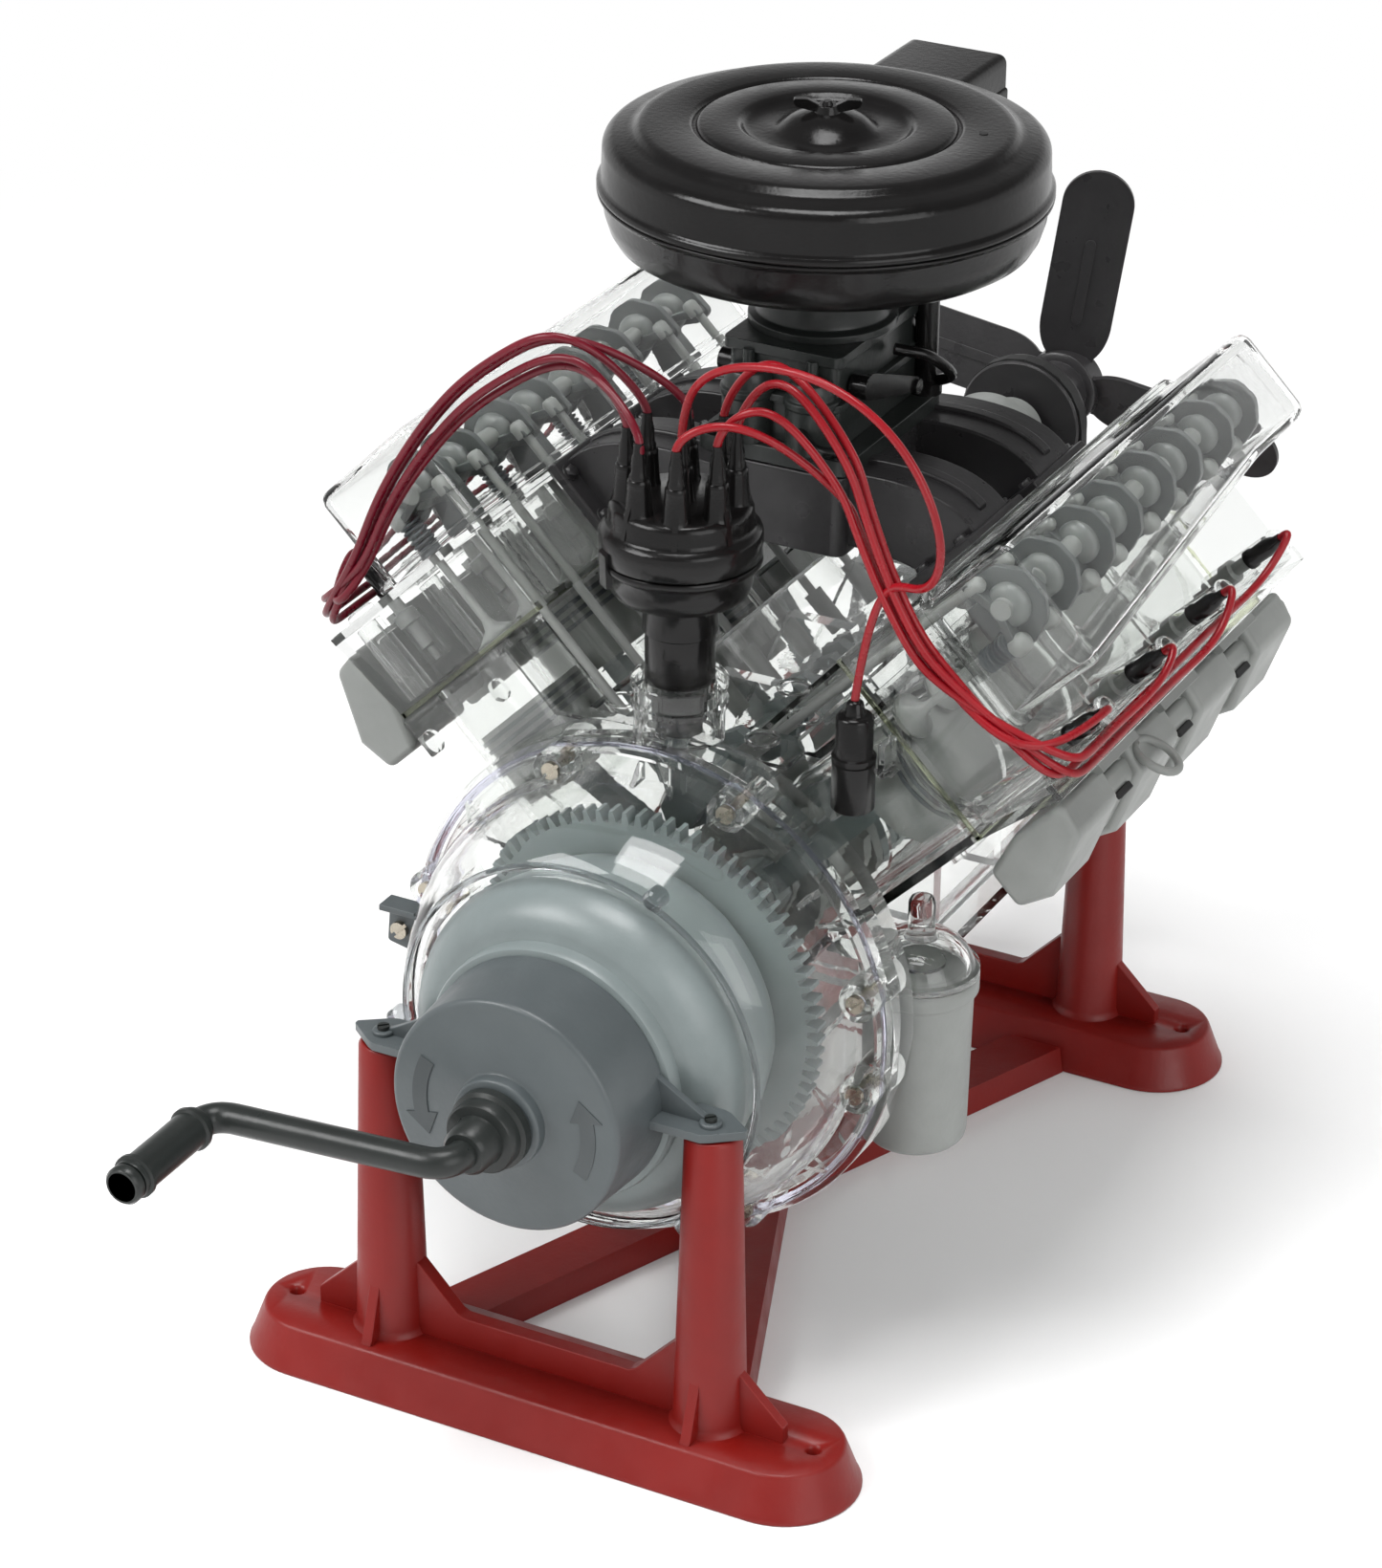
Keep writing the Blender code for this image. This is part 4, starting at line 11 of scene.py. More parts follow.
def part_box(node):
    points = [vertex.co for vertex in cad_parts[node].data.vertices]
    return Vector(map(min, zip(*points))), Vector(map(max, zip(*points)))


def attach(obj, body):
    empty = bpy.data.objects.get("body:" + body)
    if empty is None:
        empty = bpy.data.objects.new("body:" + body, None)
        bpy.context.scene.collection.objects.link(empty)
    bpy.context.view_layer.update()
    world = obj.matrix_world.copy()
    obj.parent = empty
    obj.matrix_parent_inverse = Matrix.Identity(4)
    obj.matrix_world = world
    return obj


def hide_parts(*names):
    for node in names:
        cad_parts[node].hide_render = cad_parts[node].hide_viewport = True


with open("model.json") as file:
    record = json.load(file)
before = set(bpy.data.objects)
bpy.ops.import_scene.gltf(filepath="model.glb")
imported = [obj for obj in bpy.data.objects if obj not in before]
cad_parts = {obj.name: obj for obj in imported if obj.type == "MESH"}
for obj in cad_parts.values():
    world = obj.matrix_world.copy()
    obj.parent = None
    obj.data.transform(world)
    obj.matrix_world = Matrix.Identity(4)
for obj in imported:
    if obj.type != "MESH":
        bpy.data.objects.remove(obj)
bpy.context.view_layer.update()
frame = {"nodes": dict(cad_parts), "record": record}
NODES = frame["nodes"]
ROOT = "stand_and_engine"
MM = 0.001                       # pieces are built in millimetres

# Camera, solved from the photograph
CAMERA_PLACE = (0.4038, -0.7149, 0.5679)
CAMERA_HEADING = 0.4805          # radians, from +Y towards -X
CAMERA_PITCH = 0.4774            # radians, down
CAMERA_ROLL = 0.010
CAMERA_LENS = 111.25             # millimetres, on the sensor's long side
SENSOR = 36.0

# Light
WORLD_STRENGTH = 0.55
CEILING_STRENGTH = 0.22
CEILING_SPAN = (0.15, 0.45)      # of a direction's height
FLOOR_SIZE = 6.0
FLOOR_DROP = 0.0002
FLOOR_COLOUR = (0.92, 0.92, 0.92)
FLOOR_FADE = (0.28, 0.75)        # metres from the middle over which it turns plain white
WHITE = (1.0, 1.0, 1.0, 1.0)
LAMP_TARGET = (0, 0.09, 0.12)
BOUNCES = 24


# Materials

def nodes_of(name):
    """A new material with its node tree and its shader."""
    made = bpy.data.materials.new(name)
    made.use_nodes = True
    tree = made.node_tree
    return made, tree, tree.nodes["Principled BSDF"]


def set_inputs(node, inputs):
    for name, value in inputs.items():
        node.inputs[name.replace("_", " ")].default_value = value


def add(tree, kind, **inputs):
    node = tree.nodes.new(kind)
    set_inputs(node, inputs)
    return node


def place(tree):
    """The object's own coordinates, in metres."""
    return tree.nodes.new("ShaderNodeTexCoord").outputs["Object"]


def noise(tree, scale, detail, roughness=0.5):
    made = add(tree, "ShaderNodeTexNoise", Scale=scale, Detail=detail, Roughness=roughness)
    tree.links.new(place(tree), made.inputs["Vector"])
    return made.outputs["Fac"]


def ramp(tree, source, stops):
    made = tree.nodes.new("ShaderNodeValToRGB")
    for element, (at, colour) in zip(made.color_ramp.elements, stops):
        element.position = at
        element.color = (*colour, 1.0)
    tree.links.new(source, made.inputs["Fac"])
    return made.outputs["Color"]


def span(tree, source, low, high, start=0.25, stop=0.75, kind="LINEAR"):
    """A value between start and stop, stretched to the range from low to high."""
    made = add(tree, "ShaderNodeMapRange", From_Min=start, From_Max=stop, To_Min=low, To_Max=high)
    made.interpolation_type = kind
    tree.links.new(source, made.inputs["Value"])
    return made.outputs["Result"]


def combined(tree, operation, first, second):
    """One value from two."""
    made = tree.nodes.new("ShaderNodeMath")
    made.operation = operation
    tree.links.new(first, made.inputs[0])
    tree.links.new(second, made.inputs[1])
    return made.outputs[0]


def surface(name, flow, stops, gloss, low, high, grain, depth, **inputs):
    """A material whose colour, gloss and fine bump come from noise of (scale, detail, roughness)."""
    made, tree, shader = nodes_of(name)
    tree.links.new(ramp(tree, noise(tree, *flow), stops), shader.inputs["Base Color"])
    tree.links.new(span(tree, noise(tree, *gloss), low, high), shader.inputs["Roughness"])
    bump = add(tree, "ShaderNodeBump", Strength=1.0, Distance=depth)
    tree.links.new(noise(tree, *grain), bump.inputs["Height"])
    tree.links.new(bump.outputs["Normal"], shader.inputs["Normal"])
    set_inputs(shader, inputs)
    return made


def styrene(name, colour, low, high, mottle=0.12, gloss=0.5):
    """Moulded styrene: faint flow marks in its colour, uneven gloss and a fine orange peel."""
    dark = [c * (1 - mottle) for c in colour]
    light = [c * (1 + mottle) for c in colour]
    return surface(name, (38.0, 5.0, 0.6), ((0.30, dark), (0.70, light)), (160.0, 4.0), low, high,
        (900.0, 2.0), 0.00004, Specular_IOR_Level=gloss)


def clear_styrene(name, tint, deep, low, high):
    """Clear styrene: nearly colourless, with faint haze, uneven gloss and a bright skin."""
    return surface(name, (30.0, 3.0), ((0.25, deep), (0.75, tint)), (120.0, 4.0), low, high, (420.0, 2.0),
        0.00003, Transmission_Weight=1.0, IOR=1.12, Coat_Weight=0.6, Coat_IOR=1.5, Coat_Roughness=0.04)


def metal(name, colour, low, high):
    """Bright plated steel with brushed gloss."""
    grain, dark = (700.0, 4.0), [c * 0.8 for c in colour]
    return surface(name, grain, ((0.3, dark), (0.7, colour)), grain,
        low, high, (1500.0, 2.0), 0.00002, Metallic=1.0)


LOOKS = {
    "red": styrene("red_styrene", (0.175, 0.006, 0.004), 0.30, 0.50, 0.10, gloss=0.35),
    "clear": clear_styrene("clear_styrene", (0.955, 0.96, 0.955), (0.92, 0.93, 0.92), 0.0, 0.05),
    "dark_grey": styrene("dark_grey_styrene", (0.066, 0.078, 0.082), 0.32, 0.48),
    "mid_grey": styrene("mid_grey_styrene", (0.17, 0.20, 0.20), 0.28, 0.42),
    "light_grey": styrene("light_grey_styrene", (0.215, 0.225, 0.215), 0.34, 0.50),
    "black": styrene("black_styrene", (0.0056, 0.0052, 0.0052), 0.13, 0.28, 0.25, gloss=0.25),
    "rubber": styrene("belt_rubber", (0.014, 0.014, 0.014), 0.60, 0.80, 0.3),
    "lead_red": styrene("lead_sleeve", (0.235, 0.003, 0.008), 0.22, 0.36, 0.18, gloss=0.35),
    # The red lead darkened to about half: painted shade for the left bank's leads
    "lead_red_painted_shade": styrene("lead_sleeve_painted_shade", (0.115, 0.002, 0.010), 0.22, 0.36, 0.18, gloss=0.35),
    "clear_violet": clear_styrene("clear_violet_styrene", (0.84, 0.83, 0.95), (0.78, 0.77, 0.92), 0.02, 0.08),
    "clear_edge": clear_styrene("clear_edge_styrene", (0.74, 0.77, 0.58), (0.66, 0.70, 0.50), 0.02, 0.08),
    "clear_line": clear_styrene("clear_line_styrene", (0.60, 0.62, 0.63), (0.50, 0.52, 0.54), 0.02, 0.08),
    # Black lightened a little to paint in the sheen of reflected light, for the intake and fan
    "painted_sheen_black": styrene("painted_sheen_black_styrene", (0.024, 0.023, 0.024), 0.24, 0.40, 0.2, gloss=0.35),
    "soft_grey": styrene("soft_grey_styrene", (0.135, 0.145, 0.140), 0.28, 0.42),
    "rocker_grey": styrene("rocker_styrene", (0.072, 0.080, 0.078), 0.30, 0.45),
    "crank_grey": styrene("crank_styrene", (0.017, 0.0195, 0.0185), 0.26, 0.40, gloss=0.33),
    "drum_mark": styrene("drum_mark_styrene", (0.045, 0.053, 0.056), 0.40, 0.55),
    "steel": metal("screw_steel", (0.44, 0.40, 0.33), 0.20, 0.38),
}


def dress(node, look):
    """Gives a CAD node its finished material."""
    slots = NODES[node].material_slots
    if not slots:
        NODES[node].data.materials.append(LOOKS[look])
    for held in slots:
        held.material = LOOKS[look]


for entry in frame["record"]["subparts"]:
    dress(entry["node"], entry["material_slot"])


# Shapes, each added to a mesh under construction

def add_loop(built, points):
    return [built.verts.new(point) for point in points]


def add_band(built, low, high):
    """Faces between two rings of equal count."""
    for k in range(len(low)):
        after = (k + 1) % len(low)
        built.faces.new((low[k], low[after], high[after], high[k]))


def add_skin(built, rings):
    """Faces from ring to ring, with filled ends."""
    for low, high in zip(rings, rings[1:]):
        add_band(built, low, high)
    built.faces.new(rings[0][::-1])
    built.faces.new(rings[-1])


def prism(built, outline, run):
    """An outline of points in space, run along a vector."""
    run = Vector(run)
    add_skin(built, [add_loop(built, outline), add_loop(built, [Vector(p) + run for p in outline])])


def box(built, low, high):
    (x, y, z), (X, Y, Z) = low, high
    prism(built, [(x, y, z), (X, y, z), (X, Y, z), (x, Y, z)], (0, 0, Z - z))


def frame_of(axis):
    """Two unit vectors across an axis."""
    axis = Vector(axis).normalized()
    side = axis.orthogonal().normalized()
    return side, axis.cross(side)


def turns(sides):
    return [2 * pi * k / sides for k in range(sides)]


def add_circle(built, centre, side, up, radius, sides):
    return add_loop(built, [centre + (side * cos(t) + up * sin(t)) * radius for t in turns(sides)])


def rod(built, start, end, radius, end_radius=None, sides=32):
    """A round bar or cone between two points."""
    start, end = Vector(start), Vector(end)
    side, up = frame_of(end - start)
    add_skin(built, [add_circle(built, start, side, up, radius, sides),
        add_circle(built, end, side, up, end_radius or radius, sides)])


def turned(built, profile, centre, axis=(0, 0, 1), sides=96):
    """A profile of (radius, height) turned round an axis: a ring, or solid where it ends on the axis."""
    axis, centre = Vector(axis).normalized(), Vector(centre)
    side, up = frame_of(axis)
    rings = [add_circle(built, centre + axis * height, side, up, radius, sides) if radius
        else add_loop(built, [centre + axis * height]) for radius, height in profile]
    whole = all(radius > 0 for radius, _ in profile)
    pairs = list(zip(rings, rings[1:])) + ([(rings[-1], rings[0])] if whole else [])
    for low, high in pairs:
        for k in range(sides):
            after = (k + 1) % sides
            corners = [low[k % len(low)], low[after % len(low)], high[after % len(high)], high[k % len(high)]]
            built.faces.new(list(dict.fromkeys(corners)))


def tube(built, points, radius, sides):
    """A round tube along points, turned with them and closed at its ends."""
    points = [Vector(p) for p in points]
    side, _ = frame_of(points[1] - points[0])
    rings = []
    for k, point in enumerate(points):
        before, after = points[max(k - 1, 0)], points[min(k + 1, len(points) - 1)]
        new = (after - before).normalized()
        side = (side - new * side.dot(new)).normalized()
        rings.append(add_circle(built, point, side, new.cross(side), radius, sides))
    add_skin(built, rings)


def linked(name, data):
    """A new object in the scene."""
    made = bpy.data.objects.new(name, data)
    bpy.context.scene.collection.objects.link(made)
    return made


def as_object(name, built, matrix=Matrix()):
    """An object from a mesh built in millimetres."""
    bmesh.ops.transform(built, matrix=matrix @ Matrix.Scale(MM, 4), verts=built.verts)
    bmesh.ops.recalc_face_normals(built, faces=built.faces)
    data = bpy.data.meshes.new(name)
    built.to_mesh(data)
    built.free()
    return linked(name, data)


def piece(name, built, look, body=ROOT, stands_for=(), bank=None, angle=35, bevel=0.0, segments=2):
    """The finished piece: named, smoothed, with its material, riding on its body."""
    made = as_object(name, built, BANKS[bank] if bank else Matrix())
    made.data.materials.append(LOOKS[look])
    made.data.shade_smooth()
    made.data.set_sharp_from_angle(angle=radians(angle))
    if bevel:
        edges = made.modifiers.new("edges", "BEVEL")
        edges.width = bevel * MM
        edges.segments = segments
        edges.limit_method = "ANGLE"
        edges.angle_limit = radians(40)
        edges.harden_normals = True
    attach(made, body)
    if stands_for:
        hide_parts(*stands_for)
    return made


def loose(built):
    """An object of its own, only for cutting."""
    return as_object("cutter", built)


def carve(made, tool, angle=40):
    """Cuts a loose solid, which is then gone, out of an object."""
    for material in made.data.materials:
        tool.data.materials.append(material)
    step = made.modifiers.new("cut", "BOOLEAN")
    step.operation = "DIFFERENCE"
    step.solver = "EXACT"
    step.object = tool
    bpy.context.view_layer.update()
    held = bpy.data.meshes.new_from_object(made.evaluated_get(bpy.context.evaluated_depsgraph_get()))
    made.modifiers.clear()
    made.data = held
    held.shade_smooth()
    held.set_sharp_from_angle(angle=radians(angle))
    bpy.data.objects.remove(tool, do_unlink=True)
    return made


def point_at(centre, radius, degrees):
    """The point in a plane at an angle round a centre."""
    return (centre[0] + radius * cos(radians(degrees)), centre[1] + radius * sin(radians(degrees)))


def arc(centre, radius, start, stop, steps):
    """Points of an arc in a plane, from one angle in degrees to another."""
    return [point_at(centre, radius, start + (stop - start) * k / steps) for k in range(steps + 1)]


# Places, from the frame

def middle_of(node):
    low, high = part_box(node)
    return (low + high) / 2


CRANK_Z = middle_of("gear_bell").z / MM
CRANK = (0, CRANK_Z)             # seen along the crankshaft
CAM_Z = CRANK_Z + 34
PITCH = 31.5                     # from one cylinder to the next
FRONT = {1: 60, -1: 52}          # where each bank starts
LEAN = sqrt(0.5)
SIDES = (("right", 1), ("left", -1))
BANKS = {side: Matrix(((side * LEAN, 0, side * LEAN, 0),
                       (0, 1, 0, 0),
                       (-LEAN, 0, LEAN, CRANK_Z * MM),
                       (0, 0, 0, 1))) for _, side in SIDES}


def bank(side, across, y, along):
    """A point in a bank: across is outward from the bores, along is from the crankshaft."""
    return Vector((side * LEAN * (along + across), y, CRANK_Z + LEAN * (along - across)))


def heading(side, across, along):
    """A direction in a bank."""
    return bank(side, across, 0, along) - bank(side, 0, 0, 0)


def cylinder_y(side, number):
    return FRONT[side] + PITCH * (number + 0.5)


def curve(start, corner, stop, steps):
    """Points of a smooth bend from start to stop, drawn towards a corner."""
    start, corner, stop = Vector(start), Vector(corner), Vector(stop)
    shares = [k / steps for k in range(steps + 1)]
    return [start * (1 - t) ** 2 + corner * (2 * t * (1 - t)) + stop * t ** 2 for t in shares]


def slab_y(built, outline, low, high):
    """An outline in X and Z, run along Y."""
    prism(built, [(x, low, z) for x, z in outline], (0, high - low, 0))


def slab_z(built, outline, low, high):
    """An outline in X and Y, run along Z."""
    prism(built, [(x, y, low) for x, y in outline], (0, 0, high - low))


def screw_head(built, centre, axis, radius, height):
    """A round screw head with a slot across it."""
    axis = Vector(axis).normalized()
    across, up = frame_of(axis)
    centre = Vector(centre)
    for turn in (1, -1):
        half = [across * cos(t) * radius + up * sin(t) * radius * turn
            for t in [radians(12 + 156 * k / 12) for k in range(13)]]
        prism(built, [centre + point for point in half], axis * height)
    rod(built, centre, centre + axis * height * 0.12, radius * 0.96, sides=24)


def smooth(points, steps=12):
    """Places on a smooth curve through a route's own points."""
    route = [Vector(point) for point in points]
    route = [route[0] * 2 - route[1]] + route + [route[-1] * 2 - route[-2]]
    fine = []
    for before, start, stop, after in zip(route, route[1:], route[2:], route[3:]):
        for k in range(steps):
            t = k / steps
            bow = before * 2 - start * 5 + stop * 4 - after
            turn = start * 3 - before - stop * 3 + after
            fine.append((start * 2 + (stop - before) * t + bow * t ** 2 + turn * t ** 3) / 2)
    return fine + [route[-2]]


def relaxed(points):
    """A fine path with its kinks evened out and its ends kept."""
    for _ in range(60):
        inner = zip(points[1:], points[2:-2], points[3:])
        evened = [point * 0.5 + (before + after) * 0.25 for before, point, after in inner]
        points = points[:2] + evened + points[-2:]
    return points


def inset(outline, amount):
    """A flat outline that runs anticlockwise, moved inwards by one amount on every side."""
    points = [Vector(point) for point in outline]
    held = []
    for before, point, after in zip(points[-1:] + points, points, points[1:] + points[:1]):
        into, out = (point - before).normalized(), (after - point).normalized()
        first, second = Vector((-into.y, into.x)), Vector((-out.y, out.x))
        held.append(point + (first + second) * (amount / (1 + first.dot(second))))
    return held


def rounded(outline, radius, steps=5):
    """A flat outline with its corners rounded."""
    points = [Vector(point) for point in outline]
    fine = []
    for before, point, after in zip(points[-1:] + points, points, points[1:] + points[:1]):
        start = point + (before - point).normalized() * radius
        stop = point + (after - point).normalized() * radius
        fine += curve(start, point, stop, steps)
    return fine


def add_layers(built, outline, layers, radius):
    """A solid from layers of (inset, height) of one outline with round corners."""
    rings = []
    for amount, height in layers:
        loop = rounded(inset(outline, amount), max(radius - amount, 0.3))
        rings.append(add_loop(built, [(x, y, height) for x, y in loop]))
    add_skin(built, rings)


# Stand

POST_X = 36.85
FOOT_ROUND_X = 53.4              # the middle of the foot's round ends
FOOT_SCREW_X = 60


def foot(node, y, facing):
    built = bmesh.new()
    rings = []
    for radius, z in ((15.9, 0), (15.9, 0.5), (15.6, 0.9), (12.7, 8.7), (12.4, 9.2), (11.9, 9.5)):
        outline = arc((FOOT_ROUND_X, y), radius, -90, 90, 28) + arc((-FOOT_ROUND_X, y), radius, 90, 270, 28)
        rings.append(add_loop(built, [(px, py, z) for px, py in outline]))
    add_skin(built, rings)
    plate = piece(f"{node}_plate", built, "red", stands_for=[node], angle=50)
    drill = bmesh.new()
    for x in (FOOT_SCREW_X, -FOOT_SCREW_X):
        turned(drill, [(0, -2), (1.35, -2), (1.35, 8.7), (2.2, 9.7), (0, 9.7)], (x, y, 0), sides=32)
    carve(plate, loose(drill), 50)
    built = bmesh.new()
    for turn in (1, -1):
        x = turn * POST_X
        turned(built, [(0, 4), (8.6, 9.2), (7.9, 9.9), (7.5, 11.2), (5.75, 75.6), (5.2, 76.4), (0, 76.4)],
            (x, y, 0), sides=64)
        slab_y(built, [(x, 6), (x + turn * 17, 6), (x + turn * 17, 13), (x + turn * 16.4, 13.6),
            (x + turn * 5.7, 24), (x, 24)], y - 1.2, y + 1.2)
        side = [(y, 6), (y + facing * 11.2, 6), (y + facing * 11.2, 9.8), (y + facing * 10.6, 10.6),
            (y + facing * 5.7, 26.5), (y, 26.5)]
        prism(built, [(x - 1.2, py, z) for py, z in side], (2.4, 0, 0))
    half = [(POST_X, 26.5), (30.4, 26.5), (29.4, 26.2), (20.6, 17), (19.2, 16.3)]
    web = [(-POST_X, 6), (POST_X, 6)] + half + [(-x, z) for x, z in reversed(half)]
    slab_y(built, web, y - 1.7, y + 1.7)
    piece(f"{node}_posts", built, "red", angle=40, bevel=0.3)


foot("foot_crank_end", 0, -1)
foot("foot_fan_end", 188.7, 1)


# Housings at the hand crank

def drum():
    built = bmesh.new()
    turned(built, [(4.4, 21), (9.1, 21), (9.5, 20.8), (9.6, 20.4), (9.6, 18.4), (10.2, 17.9), (24, 17.8),
        (24.7, 17.6), (25.1, 17.1), (25.2, 16.5), (26.2, 0), (4.4, 0)], (0, 0.3, CRANK_Z), (0, -1, 0), 160)
    piece("drum_shell", built, "dark_grey", stands_for=["drum_housing"], angle=50)
    built = bmesh.new()
    for turn in (1, -1):
        arm = [(22, -5.8), (POST_X, -5.8), (38.4, -4.9), (44, -0.4), (44, 0.6), (38.4, 4.6), (POST_X, 5.2),
            (31.2, 5.2), (28.3, 0.3), (22, 0.3)]
        slab_z(built, [(turn * x, y) for x, y in arm], 76.7, 78.6)
        rib = [(22, 77), (36.8, 77), (36.8, 79.2), (34, 80.6), (22, 87.7)]
        slab_y(built, [(turn * x, z) for x, z in rib], -1.3, 0.3)
        turned(built, [(0, 78.2), (2.3, 78.2), (2.3, 79.2), (2, 79.5), (0, 79.5)],
            (turn * POST_X, -1.2, 0), sides=32)
    piece("drum_arms", built, "dark_grey", bevel=0.2)
    built = bmesh.new()
    for turn in (1, -1):
        screw_head(built, (turn * POST_X, -1.2, 79.5), (0, 0, 1), 1.25, 0.8)
    piece("drum_arm_screws", built, "crank_grey")
    built = bmesh.new()
    for middle in (0, 180):
        neck = middle + 12
        inner, outer = (arc(CRANK, radius, middle - 26, neck, 12) for radius in (17.2, 20.4))
        quads = [[inner[k], inner[k + 1], outer[k + 1], outer[k]] for k in range(12)]
        tip = [point_at(CRANK, 15.2, neck), point_at(CRANK, 18.8, middle + 27), point_at(CRANK, 22.4, neck)]
        for outline in quads + [tip]:
            slab_y(built, outline, -17.72, -17.4)
    piece("drum_arrows", built, "drum_mark")


def solid_bell():
    built = bmesh.new()
    profile = [(4.4, 33.9), (26.6, 33.9), (27.3, 33.7), (27.7, 33.1), (27.7, 30.4)]
    for step in range(1, 17):
        turn = radians(90 * step / 16)
        profile.append((27.7 + 9 * sin(turn), 18.5 + 11.6 * cos(turn)))
    profile += [(36.5, 14), (36, 10.4), (35, 6), (33.6, 1.6), (32.5, 0), (4.4, 0)]
    turned(built, profile, (0, 34.5, CRANK_Z), (0, -1, 0), 160)
    piece("gear_bell_skin", built, "mid_grey", stands_for=["gear_bell"], angle=40)


LUGS = (67, 113, 13, 167, -11, 191, -60, 240)
LUG_CIRCLE = 50.3


def clear_cone():
    built = bmesh.new()
    outer = [(39.5, 13), (39.9, 13.2)]
    for k in range(1, 12):
        outer.append((39.9 + 9 * sin(radians(4 + 86 * k / 12)) ** 0.82, 13.6 + 25.2 * k / 12))
    outer.append((48.9, 38.8))
    inner = [(radius - 2.4, y) for radius, y in reversed(outer)]
    profile = outer + [(52.6, 38.8), (53, 39.2), (53, 42.5), (52.7, 42.8), (46.4, 42.8)] + inner
    turned(built, profile, (0, 0, CRANK_Z), (0, 1, 0), 128)
    piece("bell_cone", built, "clear", stands_for=["bell_housing"], angle=40)
    built, steel = bmesh.new(), bmesh.new()
    for degrees in LUGS:
        x, z = point_at(CRANK, LUG_CIRCLE, degrees)
        turned(built, [(0, 0), (4.2, 0), (4.2, 5.6), (3.8, 6), (2.6, 6), (2.4, 5.2), (0, 5.2)],
            (x, 42.5, z), (0, -1, 0), 32)
        screw_head(steel, (x, 37.3, z), (0, -1, 0), 1.9, 1.1)
        rod(steel, (x, 37.3, z), (x, 44.5, z), 0.9, sides=16)
    for degrees in (40, 90, 140, 215, 270, 325):
        inner, outer = Vector(point_at(CRANK, 48.4, degrees)), Vector(point_at(CRANK, 52.4, degrees))
        across = (outer - inner).orthogonal().normalized() * 0.6
        rings = []
        for at, low in ((inner, 34.2), (outer, 38.1)):
            corners = ((at - across, low), (at + across, low), (at + across, 38.9), (at - across, 38.9))
            rings.append(add_loop(built, [(v.x, y, v.y) for v, y in corners]))
        add_skin(built, rings)
    piece("bell_lugs", built, "clear", angle=40)
    built = bmesh.new()
    turned(built, [(51.9, 42.9), (53.4, 42.9), (53.6, 42.5), (53.6, 41.9), (53.1, 41.6)],
        (0, 0, CRANK_Z), (0, 1, 0), 128)
    piece("bell_rim", built, "clear_violet", angle=40)
    built = bmesh.new()
    turned(built, [(39.3, 12.2), (39.9, 11.9), (40.5, 12.2), (40.6, 12.8), (40.2, 13.3), (39.5, 13.1)],
        (0, 0, CRANK_Z), (0, 1, 0), 128)
    for degrees in (66, 186, 306):
        x, z = point_at(CRANK, 41.9, degrees)
        turned(built, [(0, 10.8), (1.6, 10.8), (2.2, 11.4), (2.2, 14.4), (0, 14.4)], (x, 0, z), (0, 1, 0), 32)
    piece("bell_lip", built, "clear_line", angle=40)
    built = bmesh.new()
    tab = rounded([(-60.4, CRANK_Z - 4.6), (-51.6, CRANK_Z - 6.4), (-51.6, CRANK_Z + 4.8),
        (-59.6, CRANK_Z + 5.6)], 0.9)
    slab_y(built, tab, 39.4, 40.9)
    ledge = [(-60.2, CRANK_Z + 4.2), (-51.6, CRANK_Z + 4.2), (-51.6, CRANK_Z + 5.6), (-60.2, CRANK_Z + 5.6)]
    slab_y(built, ledge, 35.8, 40.9)
    piece("bell_tab", built, "dark_grey", bevel=0.2)
    screw_head(steel, (-57.2, 39.4, CRANK_Z - 1.2), (0, -1, 0), 1.9, 1.1)
    piece("bell_screws", steel, "steel")


drum()
solid_bell()
clear_cone()


# Hand crank

ARM_Y = -38.5
GRIP = (-54, ARM_Y, 74.6)


def crank():
    built = bmesh.new()
    points = [Vector(p) for p in ((0, -24, CRANK_Z), (0, ARM_Y, CRANK_Z), GRIP, (GRIP[0], -69.5, GRIP[2]))]
    bar = points[:1]
    for before, corner, after in zip(points, points[1:], points[2:]):
        into, out = (before - corner).normalized() * 6.2, (after - corner).normalized() * 6.2
        bar += curve(corner + into, corner, corner + out, 16)
    tube(built, bar + points[-1:], 3.1, 32)
    turned(built, [(0, 0), (8, 0), (8.4, 0.4), (8.4, 2.4), (7.6, 3), (7.6, 5.4), (7.2, 6), (5.4, 6.2),
        (5.2, 7), (5, 11), (4.2, 12), (0, 12.4)], (0, -21, CRANK_Z), (0, -1, 0), 64)
    turned(built, [(0, 28.6), (3.7, 28.6), (4, 28.9), (4, 30.4), (3.5, 31), (0, 31)], GRIP, (0, -1, 0), 48)
    piece("crank_bar", built, "crank_grey", "crank", ["hand_crank"], angle=40)
    built = bmesh.new()
    turned(built, [(3.5, 4.8), (3.9, 4.8), (4, 5), (4, 6), (4.6, 6.3), (4.6, 7.2), (4, 7.6), (4, 25.4),
        (4.6, 25.8), (4.6, 26.7), (4, 27), (4, 28.1), (3.9, 28.3), (3.5, 28.3)], GRIP, (0, -1, 0), 48)
    piece("crank_sleeve", built, "crank_grey", "grip", ["crank_grip"], angle=40)


crank()


# Air cleaner

CARB_Y = 116


